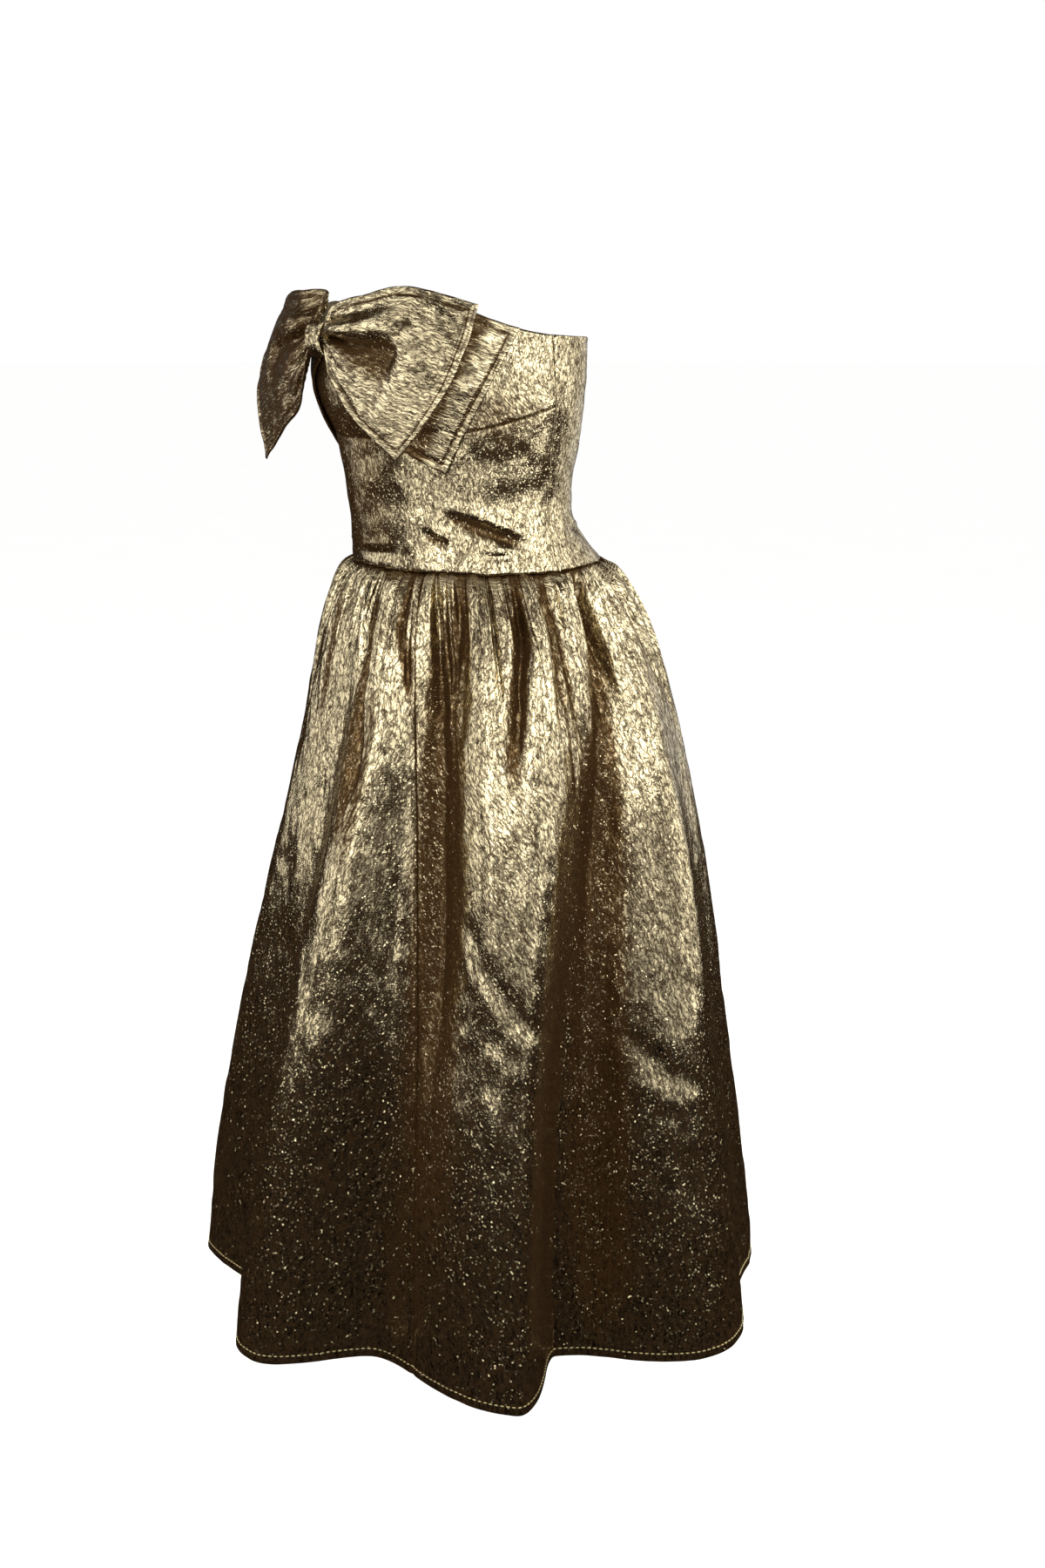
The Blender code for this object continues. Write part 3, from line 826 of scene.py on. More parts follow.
def make_gold_cloth(
    name, grain, slant=14.0, warp=WARP, foil_share=0.84, roughness=0.15, crinkle=0.00040, loose=0.85,
    sway=0.007,
):
    """Crinkled foil cloth: puffs and sharp valleys, a fine weave and small tilted glints.

    grain holds the width and length of a puff in metres; the length runs along
    the cloth's second direction.  Dark warp shows in the valleys.
    """
    material, tree, shader = start_material(name)
    place = add_node(tree, "ShaderNodeTexCoord").outputs["UV"]
    swayed = swayed_place(tree, place, sway)
    coarse, fine = (
        folded_streaks(tree, swayed, grain[0] * width, grain[1] * length, turn)
        for (width, length), turn in ((COARSE_PUFF, slant), (FINE_PUFF, FINE_TURN * slant))
    )
    patches = noise_node(tree, place, PATCH_PITCH, 3.0).outputs["Fac"]
    cells = add_node(tree, "ShaderNodeTexVoronoi", {"Vector": swayed, "Scale": FLAKE_PITCH})
    flakes = cells.outputs["Color"]
    chance = add_node(tree, "ShaderNodeSeparateColor", {"Color": flakes}).outputs["Blue"]
    bumped = cloth_relief(tree, place, coarse, fine, patches, crinkle)
    # Painted shade from the mesh turns foil and warp towards their painted-shade colours and bares the
    # foil
    painted_shade = ragged_painted_shade(tree, coarse, chance)

    tree.links.new(blend_colours(tree, painted_shade, FOIL, PAINTED_SHADE_FOIL), shader.inputs["Base Color"])
    tree.links.new(tilted_flakes(tree, bumped, flakes, chance, loose), shader.inputs["Normal"])
    shader.inputs["Metallic"].default_value = 1.0
    shader.inputs["Roughness"].default_value = roughness
    tone = blend_colours(tree, painted_shade, warp, PAINTED_SHADE_WARP)
    under = add_node(tree, "ShaderNodeBsdfDiffuse", {"Color": tone, "Normal": bumped}).outputs[0]
    cover = foil_cover(tree, coarse, fine, patches, painted_shade, foil_share)
    mixed = add_node(tree, "ShaderNodeMixShader", {0: cover, 1: under, 2: shader.outputs[0]}).outputs[0]
    tree.links.new(mixed, tree.nodes["Material Output"].inputs["Surface"])
    return material


def make_metal(name, colour, roughness):
    """Plain metal with fine scratches that dull it and brighten its colour."""
    material, tree, shader = start_material(name)
    place = add_node(tree, "ShaderNodeTexCoord").outputs["Object"]
    scratches = noise_node(tree, place, SCRATCH_PITCH, 3.0).outputs["Fac"]
    dull = add(tree, multiply(tree, scratches, SCRATCH_DULLING), roughness)
    tree.links.new(dull, shader.inputs["Roughness"])
    bright = tuple(min(SCRATCH_BRIGHTENING * value, 1.0) for value in colour)
    tint = colour_ramp(tree, scratches, ((SCRATCH_DULL, colour), (SCRATCH_BRIGHT, bright)))
    tree.links.new(tint, shader.inputs["Base Color"])
    shader.inputs["Metallic"].default_value = 1.0
    return material


SKIRT_GRAIN = (0.0025, 0.0080)
BODICE_GRAIN = (0.0021, 0.0060)
BOW_GRAIN = (0.0130, 0.0022)

SKIRT_GOLD = make_gold_cloth("skirt_gold", SKIRT_GRAIN)
BODICE_GOLD = make_gold_cloth("bodice_gold", BODICE_GRAIN)
BOW_GOLD = make_gold_cloth(
    "bow_gold", BOW_GRAIN, slant=5.0, foil_share=0.97, crinkle=0.00074, sway=0.0060
)
REVERSE = make_gold_cloth(
    "cloth_reverse", BODICE_GRAIN, warp=DARK_WARP, foil_share=0.15, roughness=0.5, loose=0.3
)
THREAD = make_metal("gold_thread", THREAD_COLOUR, 0.25)
BRASS = make_metal("zip_brass", BRASS_COLOUR, 0.22)


# ---------------------------------------------------------------- skirt

SKIRT_CHART = 0.20

# Creases on the skirt: points as (plan angle, drop), half width, depth, lip
SKIRT_CREASES = (
    (((46.5, -0.060), (47.8, 0.090), (49.0, 0.235), (50.3, 0.354), (51.0, 0.560)), 0.0100, -0.0110, 0.0),
    (((50.0, -0.070), (51.0, 0.090), (53.0, 0.235), (54.0, 0.354), (54.5, 0.520)), 0.0180, -0.0130, 0.0),
    (
        ((103.0, 0.130), (97.0, 0.270), (92.5, 0.360), (89.5, 0.450), (87.0, 0.580), (85.0, 0.800)),
        0.0170, -0.0160, 0.0,
    ),
    (((69.5, -0.060), (66.7, 0.108), (65.5, 0.225), (64.8, 0.420)), 0.0160, 0.0060, 0.0),
    (((80.5, -0.040), (78.0, 0.050), (74.5, 0.100), (72.0, 0.160), (70.5, 0.210)), 0.0072, -0.0110, 0.2),
    (
        ((19.0, -0.040), (20.8, 0.030), (22.8, 0.080), (22.2, 0.112), (24.0, 0.170), (25.0, 0.260)),
        0.0070, -0.0085, 0.3,
    ),
    (((34.5, -0.040), (35.8, 0.050), (39.0, 0.082), (41.0, 0.130)), 0.0050, -0.0050, 0.3),
    (((57.5, -0.060), (55.6, 0.042), (54.0, 0.072), (51.0, 0.125)), 0.0080, -0.0080, 0.2),
    (((27.0, 0.074), (31.0, 0.086), (36.0, 0.084)), 0.0055, -0.0018, 0.9),
    (((29.5, 0.104), (33.0, 0.098), (38.0, 0.102)), 0.0050, -0.0014, 0.8),
    (((44.0, 0.116), (50.0, 0.122), (57.0, 0.118)), 0.0085, -0.0026, 0.5),
    (((62.0, 0.192), (75.0, 0.188), (92.0, 0.201)), 0.0046, -0.0008, 0.6),
    (((24.0, 0.160), (30.0, 0.285), (34.0, 0.400), (36.0, 0.600)), 0.0200, 0.0050, 0.0),
    (((-8.0, 0.230), (-5.0, 0.310), (-9.0, 0.400)), 0.0180, 0.0040, 0.0),
    (((119.0, 0.100), (115.0, 0.290), (112.0, 0.375), (104.0, 0.580)), 0.0180, 0.0080, 0.0),
    (((95.0, 0.425), (101.8, 0.476), (110.5, 0.510)), 0.0110, -0.0018, 0.6),
    (((57.5, 0.290), (63.9, 0.359), (70.1, 0.400), (80.5, 0.436)), 0.0075, -0.0022, 0.5),
    (((112.5, -0.040), (107.0, 0.110), (99.0, 0.240), (90.0, 0.330)), 0.0130, -0.0090, 0.0),
    (((28.5, 0.110), (27.0, 0.170), (24.5, 0.230)), 0.0090, -0.0042, 0.2),
    (((58.0, 0.030), (57.0, 0.090), (56.5, 0.170)), 0.0080, -0.0052, 0.3),
    (((90.0, 0.020), (88.0, 0.080), (85.0, 0.160)), 0.0080, -0.0046, 0.2),
)

# Painted shade in the skirt's deep folds: points as (plan angle, drop), half width, strength, lip
SKIRT_PAINTED_SHADE_LINES = (
    (((50.6, -0.040), (50.6, 0.165), (50.6, 0.300), (50.8, 0.460), (52.0, 0.700)), 0.0205, 1.1, 0.0),
    (((58.5, -0.080), (55.8, 0.042), (54.5, 0.066), (51.0, 0.115), (50.6, 0.190)), 0.0085, 1.0, 0.0),
    (
        ((18.0, -0.060), (19.5, 0.030), (21.5, 0.080), (20.8, 0.112), (22.5, 0.170), (23.5, 0.300)),
        0.0095, 1.0, 0.0,
    ),
    (((34.0, -0.040), (35.0, 0.050), (38.5, 0.082), (41.0, 0.140)), 0.0055, 1.0, 0.0),
    (((80.5, -0.060), (77.5, 0.050), (74.0, 0.100), (71.5, 0.160), (70.0, 0.230)), 0.0080, 1.0, 0.0),
    (
        ((104.0, 0.020), (98.0, 0.250), (93.0, 0.360), (90.0, 0.450), (87.5, 0.580), (85.0, 0.840)),
        0.0210, 0.9, 0.0,
    ),
    (((112.5, -0.060), (107.0, 0.110), (99.0, 0.240), (90.0, 0.330)), 0.0110, 0.7, 0.0),
    (((46.5, 0.124), (49.5, 0.119), (53.5, 0.117)), 0.0070, 0.7, 0.0),
    (((91.0, -0.020), (89.5, 0.060), (87.0, 0.150)), 0.0065, 0.8, 0.0),
    (((-4.0, 0.010), (-4.0, 0.080), (-6.0, 0.180)), 0.0070, 0.7, 0.0),
    (((30.0, 0.080), (28.5, 0.180), (26.5, 0.300)), 0.0070, 0.5, 0.0),
)

# Uneven spacing of the gathers: size in gathers, radians a gather, start
GATHER_SHIFTS = ((0.26, 2.3, 0.0), (0.18, 5.1, 0.7))

# Single gathers: least depth, range and how rare the deep ones are; how rare the long ones are;
# where they fade, as shares of their length; and the height of a crest beside its valley
GATHER_DEPTHS = (0.20, 1.40, 1.4)
GATHER_LENGTH_RARITY = 1.6
GATHER_FADE_START, GATHER_FADE_LENGTH = 0.30, 0.90
GATHER_CREST = 0.35

# Small and large gathers: seed, shortest, longest, narrowness of a valley
SMALL_GATHERS = (11, 0.05, 0.19, 0.22)
LARGE_GATHERS = (12, 0.14, 0.38, 0.15)
LARGE_EVERY = 3

# Puckers at the waist seam: phase, softness of a valley, middle level, and the drops they fade between
PUCKER_PHASE = 0.8
PUCKER_SOFTNESS = 0.03
PUCKER_LEVEL = 0.66
PUCKER_FADE_START, PUCKER_FADE_LENGTH = 0.008, 0.032

# Reach of the small gathers, the large ones and the puckers, as shares of the gather reach
SMALL_SHARE, LARGE_SHARE, PUCKER_SHARE = 1.35, 1.75, 0.95

# Slack of the skirt, laid out at this many metres a degree: size, width, length, drop where full, seed
SLACK_CHART = 0.0040
SKIRT_SLACK = (
    (0.0014, 0.050, 0.160, 0.10, 3),
    (0.0008, 0.016, 0.045, 0.03, 4),
)
FINE_SLACK, FINE_SLACK_WIDTH, FINE_SLACK_LENGTH, FINE_SLACK_SEED = 0.00055, 0.0075, 0.014, 5
CREASES_FULL_DROP = 0.035

# Edges, as ridges: height, distance from the edge, width; for the painted shade along the seams the
# height is its strength
WAIST_SEAM = (-0.0004, 0.0, 0.0030)
WAIST_SEAM_PAINTED_SHADE = (0.8, 0.0, 0.0030)
PANEL_SEAM = (-0.0018, 0.0, 0.0030)
PANEL_SEAM_PAINTED_SHADE = (1.0, 0.0, 0.0014)
HEM_ROLL = (0.0010, 0.0030, 0.0024)
HEM_GROOVE = (-0.0007, 0.0072, 0.0016)

# Turned hem: height, soft end and added thickness; its stitches: height and lift
HEM_TURN, HEM_TURN_SOFT, HEM_TURN_CLOTH = 0.0085, 0.002, 0.0010
HEM_STITCHES, STITCH_LIFT = 0.0070, 0.0002

# Where painted shade starts in the gather valleys and over what range, and the strength of the painted
# shade in the deep folds
GATHER_SHADE_FROM, GATHER_SHADE_RANGE = 0.75, 1.10
FOLD_PAINTED_SHADE = 1.3

# Rows crowd towards the waist: share of even rows, and the power of the others
EVEN_ROWS, ROW_POWER = 0.45, 1.5


def uneven_folds(number, count, drop, seed, shortest, longest, narrow):
    """Rounded crests and narrow valleys, each of its own depth and length, from about -1 to 1."""
    chance = np.random.RandomState(seed)
    least, extra, rarity = GATHER_DEPTHS
    sizes = least + extra * chance.rand(count) ** rarity
    lengths = shortest + (longest - shortest) * chance.rand(count) ** GATHER_LENGTH_RARITY
    near = np.round(number).astype(int)
    size = sizes[near % count]
    length = lengths[near % count]
    fade = 1 - smooth_share((drop - GATHER_FADE_START * length) / (GATHER_FADE_LENGTH * length))
    offset = np.abs(number - near)
    valley = np.exp(-((offset / narrow) ** 2))
    return (GATHER_CREST - valley) * size * fade


def skirt_gather_swing(waist_angle, drop, reach):
    """Uneven gathers: a few large ones, many small ones and fine puckers at the seam."""
    even = waist_angle / GATHER_PITCH
    number = even
    for size, rate, start in GATHER_SHIFTS:
        number = number + size * np.sin(rate * even + start)
    small = uneven_folds(number + 0.5, GATHER_COUNT, drop, *SMALL_GATHERS)
    large = uneven_folds(number / LARGE_EVERY, GATHER_COUNT // LARGE_EVERY, drop, *LARGE_GATHERS)
    puckers = np.sqrt(np.sin(2 * pi * number + PUCKER_PHASE) ** 2 + PUCKER_SOFTNESS) - PUCKER_LEVEL
    fade = 1 - smooth_share((drop - PUCKER_FADE_START) / PUCKER_FADE_LENGTH)
    return reach * (SMALL_SHARE * small + LARGE_SHARE * large + PUCKER_SHARE * puckers * fade)


def skirt_folds(waist_angle, angle, drop, reach):
    """Gathers, creases and broad slack of the skirt, in metres out of the plain form."""
    around = np.radians(angle) * SKIRT_CHART
    folds = crease_relief(around, drop, charted(SKIRT_CREASES, SKIRT_CHART))
    folds = folds * smooth_share(drop / CREASES_FULL_DROP)
    calm = back_calm(waist_angle)
    folds += skirt_gather_swing(waist_angle, drop, reach) * calm
    x = angle * SLACK_CHART
    for size, width, length, full_drop, seed in SKIRT_SLACK:
        folds += size * soft_noise(x / width, drop / length, seed) * smooth_share(drop / full_drop) * calm
    return folds + ridge(drop, *WAIST_SEAM)


def skirt_painted_shade(waist_angle, angle, drop):
    """How much painted shade each point gets, from 0 to 1, in deep folds, gather valleys and along the
    waist seam.
    """
    deep = crease_relief(np.radians(angle) * SKIRT_CHART, drop, charted(SKIRT_PAINTED_SHADE_LINES, SKIRT_CHART))
    swing = skirt_gather_swing(waist_angle, drop, 1.0)
    gathers = smooth_share((-swing - GATHER_SHADE_FROM) / GATHER_SHADE_RANGE)
    seam = ridge(drop, *WAIST_SEAM_PAINTED_SHADE)
    return np.clip(smooth_share(FOLD_PAINTED_SHADE * deep) + gathers + seam, 0.0, 1.0)


def skirt_edge_relief(angle, waist_angle, drop, left, right, bottom):
    """Fine slack, the rolled panel seams and the turned hem."""
    x = angle * SLACK_CHART
    relief = FINE_SLACK * soft_noise(x / FINE_SLACK_WIDTH, drop / FINE_SLACK_LENGTH, FINE_SLACK_SEED)
    relief = relief * back_calm(waist_angle)
    relief += ridge(left, *PANEL_SEAM) + ridge(right, *PANEL_SEAM)
    return relief + ridge(bottom, *HEM_ROLL) + ridge(bottom, *HEM_GROOVE)


def make_skirt_panel(name, start, end):
    count = round((end - start) / GATHER_PITCH * GATHER_COLUMNS)
    waist_angle = np.linspace(start, end, count + 1)[None, :]
    share = np.linspace(0.0, 1.0, SKIRT_ROWS + 1)[:, None]
    drop = SKIRT_LENGTH * (EVEN_ROWS * share + (1 - EVEN_ROWS) * share**ROW_POWER)
    waist_angle, drop = np.broadcast_arrays(waist_angle, drop)
    angle, radius, reach = skirt_place(waist_angle, drop)
    outwards = -1
    points = plan_point(angle, radius, waist_wave(waist_angle, drop) - drop)
    folds = skirt_folds(waist_angle, angle, drop, reach)
    points = points + grid_normals(points, outwards) * folds[..., None]

    left, right, _, bottom = edge_distances(points)
    normals = grid_normals(points, outwards)
    relief = skirt_edge_relief(angle, waist_angle, drop, left, right, bottom)
    points = points + normals * relief[..., None]

    thickness = SKIRT_CLOTH + HEM_TURN_CLOTH * smooth_share((HEM_TURN - bottom) / HEM_TURN_SOFT)
    stitch_line = level_line(points + normals * STITCH_LIFT, bottom, HEM_STITCHES)
    stitches = make_stitches(name + "_hem_stitches", stitch_line, THREAD)
    # Painted shade in the folds, the gather valleys and along the waist and panel seams
    painted_shade = skirt_painted_shade(waist_angle, angle, drop)
    painted_shade = np.maximum(painted_shade, ridge(np.minimum(left, right), *PANEL_SEAM_PAINTED_SHADE))
    materials = (SKIRT_GOLD, REVERSE)
    free_edges = (False, False, False, True)
    piece = make_cloth(name + "_cloth", points, thickness, outwards, materials, free_edges, painted_shade)
    return dress_piece(piece, name)


# ---------------------------------------------------------------- bodice

BODICE_CHART = 0.13

# Creases on the bodice: points as (plan angle, height), half width, depth, lip
BODICE_CREASES = (
    (((44.0, 0.0570), (57.0, 0.0500), (71.0, 0.0385), (90.0, 0.0215)), 0.0062, -0.0040, 0.7),
    (((38.0, 0.0430), (43.0, 0.0330), (52.0, 0.0250)), 0.0046, -0.0028, 0.6),
    (((62.0, 0.0200), (70.0, 0.0165), (82.0, 0.0175)), 0.0034, -0.0018, 0.6),
    (((-9.0, 0.0130), (10.0, 0.0150), (27.0, 0.0190)), 0.0050, -0.0014, 0.6),
    (((-44.0, 0.0500), (-58.0, 0.0440), (-76.0, 0.0300)), 0.0042, -0.0034, 0.7),
    (((-30.0, 0.0300), (-42.0, 0.0220)), 0.0035, -0.0022, 0.6),
    (((-66.0, 0.0180), (-84.0, 0.0150)), 0.0028, -0.0022, 0.6),
    (((112.0, 0.0420), (128.0, 0.0330), (146.0, 0.0300)), 0.0040, -0.0026, 0.6),
    (((-110.0, 0.0460), (-126.0, 0.0370), (-150.0, 0.0340)), 0.0040, -0.0028, 0.6),
    (((160.0, 0.0600), (172.0, 0.0520)), 0.0035, -0.0018, 0.5),
    (((-158.0, 0.0740), (-171.0, 0.0660)), 0.0035, -0.0016, 0.5),
)

# Slack of the bodice: size, width, height, seed
BODICE_SLACK = (
    (0.0008, 0.030, 0.022, 7),
    (0.0005, 0.010, 0.013, 8),
)

# Edges, as ridges: height, distance from the edge, width
BODICE_SEAM = (-0.0005, 0.0, 0.0014)
NECK_ROLL = (0.0005, 0.0018, 0.0016)
NECK_GROOVE = (-0.0004, 0.0048, 0.0010)
WAIST_ROLL = (0.0005, 0.008, 0.006)

# Depth at which a crease starts to get painted shade, and the depth over which it grows
BODICE_SHADE_FROM, BODICE_SHADE_RANGE = 0.0008, 0.0022

# Shade under the bow: strength, half angle, soft angle, and the heights where it starts and ends
UNDER_BOW_SHADE = 0.48
UNDER_BOW_ANGLE, UNDER_BOW_SOFT_ANGLE = 34.0, 22.0
UNDER_BOW_START, UNDER_BOW_SOFT_START = 0.006, 0.020
UNDER_BOW_END, UNDER_BOW_SOFT_END = 0.150, 0.050

# Shade beside the bow's left tip: strength, plan angle, height and their spreads
BESIDE_BOW_SHADE = 0.50
BESIDE_BOW_ANGLE, BESIDE_BOW_SPREAD = 71.0, 13.0
BESIDE_BOW_HEIGHT, BESIDE_BOW_RISE = 0.148, 0.024


def bodice_relief(angle, height):
    x = np.radians(angle) * BODICE_CHART
    relief = crease_relief(x, height, charted(BODICE_CREASES, BODICE_CHART))
    calm = back_calm(angle)
    for size, width, rise, seed in BODICE_SLACK:
        relief += size * soft_noise(x / width, height / rise, seed) * calm
    return relief + ridge(height, *WAIST_ROLL)


def bodice_shade(angle, height):
    """The part of the bodice that the bow keeps in its shade, from 0 to 1."""
    under = smooth_share((UNDER_BOW_ANGLE - np.abs(angle)) / UNDER_BOW_SOFT_ANGLE)
    under = under * smooth_share((height - UNDER_BOW_START) / UNDER_BOW_SOFT_START)
    under = under * (1 - smooth_share((height - UNDER_BOW_END) / UNDER_BOW_SOFT_END))
    across = (angle - BESIDE_BOW_ANGLE) / BESIDE_BOW_SPREAD
    up = (height - BESIDE_BOW_HEIGHT) / BESIDE_BOW_RISE
    return UNDER_BOW_SHADE * under + BESIDE_BOW_SHADE * np.exp(-(across**2) - up**2)


def make_bodice_panel(name, place, columns, rows, outwards, free_top):
    across, rise = np.meshgrid(columns, rows)
    angle, height = place(across, rise)
    points = bodice_point(angle, height)
    points[..., 2] += waist_wave(angle, height)
    normals = grid_normals(points, outwards)
    relief = bodice_relief(angle, height)
    left, right, bottom, top = edge_distances(points)
    for edge in (left, right, bottom):
        relief += ridge(edge, *BODICE_SEAM)
    if free_top:
        relief += ridge(top, *NECK_ROLL) + ridge(top, *NECK_GROOVE)
    else:
        relief += ridge(top, *BODICE_SEAM)
    points = points + normals * relief[..., None]
    # Painted shade in the creases, and the painted shadow of the bow
    painted_shade = smooth_share((-relief - BODICE_SHADE_FROM) / BODICE_SHADE_RANGE)
    painted_shade = np.clip(painted_shade + bodice_shade(angle, height), 0.0, 1.0)
    materials = (BODICE_GOLD, REVERSE)
    free_edges = (False, False, False, free_top)
    piece = make_cloth(name + "_cloth", points, BODICE_CLOTH, outwards, materials, free_edges, painted_shade)
    return dress_piece(piece, name)


# ---------------------------------------------------------------- bow

# Pinch of a wing: its place up the wing at the knot and its slope, its half height at the knot
# and at its far end, its depth, and where it ends
PINCH_START, PINCH_SLOPE = 0.57, -0.04
PINCH_NEAR, PINCH_FAR = 0.05, 0.165
PINCH_DEPTH = 0.0150
PINCH_END, PINCH_END_FADE = 0.64, 0.13
PINCH_KNOT_FADE = 0.16

# Widths of the pinch above and below its middle, and its upper lip: height, place, width
PINCH_UPPER, PINCH_LOWER = 0.62, 1.15
PINCH_LIP = (0.32, 1.35, 0.55)

# Strength of the painted shade in the pinch, and the right wing's own share of the pinch and of the
# painted shade over the whole far wing
PINCH_SHADE = 1.2
FAR_WING_PINCH = 0.6
FAR_WING_SHADE = 0.55

# Soft folds of a wing, from the knot: up at the knot, up at the end, end, half height, depth
WING_FOLDS = (
    (0.34, 0.20, 0.80, 0.07, -0.0045),
    (0.82, 0.88, 0.75, 0.07, -0.0040),
    (0.18, 0.06, 0.60, 0.05, -0.0030),
    (0.48, 0.42, 0.95, 0.06, 0.0022),
)
WING_FOLD_KNOT_FADE = 0.10
WING_FOLD_FULL = 0.45

# Slack of a bow layer: size, width, height
BOW_SLACK = ((0.0011, 0.030, 0.020), (0.0006, 0.013, 0.008))

# Edges of a bow layer, as ridges: height, distance from the edge, width
BOW_EDGE_ROLL = (0.0010, 0.0018, 0.0020)
BOW_RETURN = (1.0, 0.0075, 0.0011)
# Depth of the groove inside an edge, and the strength of the painted shade laid in it
BOW_RETURN_DEPTH = 0.0012
BOW_RETURN_SHADE = 0.9

# Distances from the knot over which the edges and all the relief of a layer grow
BOW_EDGE_START, BOW_RELIEF_START = 0.02, 0.012

# Painted shadow that the wing casts on an under layer beside it: strength, where it ends and over what
# share
UNDER_SHADE = 0.85
UNDER_SHADE_END, UNDER_SHADE_SOFT = 0.90, 0.08
UNDER_SEED, WING_SEED = 20, 30


def under_points(side, out, up):
    low, low_height, high, high_height = read_table(BOW_UNDER, out)
    angle = low + (high - low) * up
    height = low_height + (high_height - low_height) * up
    return plan_point(side * angle, bodice_radius(angle, height) + UNDER_GAP, height)


def wing_pinch(out, up):
    """Depth of the dip that the knot pulls into a wing, with a steep upper side and a lip over it."""
    half = PINCH_NEAR + (PINCH_FAR - PINCH_NEAR) * smooth_share(out / PINCH_END)
    offset = (up - PINCH_START - PINCH_SLOPE * out) / half
    side = np.where(offset > 0, PINCH_UPPER, PINCH_LOWER)
    along = smooth_share(out / PINCH_KNOT_FADE) * (1 - smooth_share((out - PINCH_END) / PINCH_END_FADE))
    return PINCH_DEPTH * along * (np.exp(-((offset / side) ** 2)) - ridge(offset, *PINCH_LIP))


def wing_points(side, table, out, up):
    low_x, low_y, low_z, high_x, high_y, high_z, crown = read_table(table, out)
    across = low_x + (high_x - low_x) * up
    forward = low_y + (high_y - low_y) * up
    height = low_z + (high_z - low_z) * up
    across = across + WING_BULGE * out**2 * np.sin(pi * up)
    pinch = wing_pinch(out, up) * (1.0 if side > 0 else FAR_WING_PINCH)
    for start_up, end_up, reach, width, depth in WING_FOLDS:
        middle = start_up + (end_up - start_up) * np.minimum(out / reach, 1.0)
        full = WING_FOLD_FULL * reach
        fade = smooth_share(out / WING_FOLD_KNOT_FADE) * (1 - smooth_share((out - full) / (reach - full)))
        pinch = pinch - depth * fade * np.exp(-(((up - middle) / width) ** 2))
    forward = forward + crown * np.sin(pi * up) - pinch
    return np.stack([side * across, -forward, height], -1)


def make_bow_sheet(name, points, outwards, first_seed, painted_shade):
    points = points + grid_normals(points, outwards) * BOW_CLOTH
    normals = grid_normals(points, outwards)
    left, right, bottom, top = edge_distances(points)
    relief = sum(
        size * soft_noise(left / width, bottom / rise, first_seed + i)
        for i, (size, width, rise) in enumerate(BOW_SLACK)
    )
    edge = np.minimum(np.minimum(right, bottom), top)
    away = smooth_share(left / BOW_EDGE_START)
    groove = ridge(edge, *BOW_RETURN) * away
    relief += ridge(edge, *BOW_EDGE_ROLL) * away - BOW_RETURN_DEPTH * groove
    relief = relief * smooth_share(left / BOW_RELIEF_START)
    # Painted shade in the groove along the edges
    painted_shade = np.clip(painted_shade + BOW_RETURN_SHADE * groove, 0.0, 1.0)
    points = points + normals * relief[..., None]
    materials = (BOW_GOLD, BOW_GOLD)
    free_edges = (True, True, True, True)
    piece = make_cloth(name + "_cloth", points, BOW_CLOTH, outwards, materials, free_edges, painted_shade)
    return dress_piece(piece, name)


def crowded(count):
    """Places from 0 to 1 that stand closer together at both ends."""
    even = np.linspace(0.0, 1.0, count + 1)
    return 0.5 * even + 0.25 * (1 - np.cos(pi * even))


def make_bow():
    out, up = np.meshgrid(crowded(BOW_COLUMNS), crowded(BOW_ROWS))
    # Painted shadow of the wing on the under layers, and painted shade in the wings' pinch
    under_painted_shade = UNDER_SHADE * smooth_share((UNDER_SHADE_END - out) / UNDER_SHADE_SOFT)
    wing_painted_shade = smooth_share(wing_pinch(out, up) / PINCH_DEPTH * PINCH_SHADE)
    for word, side, table in (("left", 1, BOW_WING_LEFT), ("right", -1, BOW_WING_RIGHT)):
        points = under_points(side, out, up)
        make_bow_sheet(
            "bow_under_" + word, points, side, UNDER_SEED, under_painted_shade
        )
        points = wing_points(side, table, out, up)
        # The far wing gets painted shade all over, on top of the painted shade in its pinch
        painted_shade = wing_painted_shade + (FAR_WING_SHADE if side < 0 else 0.0)
        make_bow_sheet(
            "bow_wing_" + word, points, side, WING_SEED + side, painted_shade
        )


# Folds round the knot: size, half folds in half its width, and sway or phase; its edge as a ridge
KNOT_FOLDS, KNOT_FOLD_RATE, KNOT_FOLD_SWAY = 0.0010, 3, 0.5
KNOT_FINE_FOLDS, KNOT_FINE_RATE, KNOT_FINE_PHASE = 0.0006, 7, 1.0
KNOT_EDGE = (-0.0008, 0.0, 0.10)
KNOT_CLOTH = 0.9 * BOW_CLOTH


def make_knot():
    across = np.linspace(-1.0, 1.0, KNOT_COLUMNS + 1)
    turn = np.linspace(0.0, 360.0, KNOT_ROWS + 1)[:-1]
    across, turn = np.meshgrid(across, turn)
    waist = 1 - KNOT_NIP * (1 - across * across)
    half_height = KNOT_HEIGHT / 2 * waist
    half_depth = KNOT_DEPTH / 2 * np.where(turn < 180.0, waist, 1.0)
    front = np.maximum(sind(turn), 0.0)
    sway = KNOT_FOLD_SWAY * np.sin(np.radians(2 * turn))
    folds = KNOT_FOLDS * np.cos(pi * across * KNOT_FOLD_RATE + sway)
    folds = folds + KNOT_FINE_FOLDS * np.cos(pi * across * KNOT_FINE_RATE + KNOT_FINE_PHASE)
    relief = folds * front + ridge(1 - np.abs(across), *KNOT_EDGE) * front
    centre = -bodice_radius(np.array(0.0), np.array(KNOT_CENTRE)) - KNOT_GAP - KNOT_DEPTH / 2
    points = np.stack([
        across * KNOT_WIDTH / 2,
        centre - (half_depth + relief) * sind(turn),
        KNOT_CENTRE + (half_height + relief) * cosd(turn),
    ], -1)
    piece = make_ring("bow_knot_cloth", points, KNOT_CLOTH, (BODICE_GOLD, REVERSE))
    dress_piece(piece, "bow_knot")


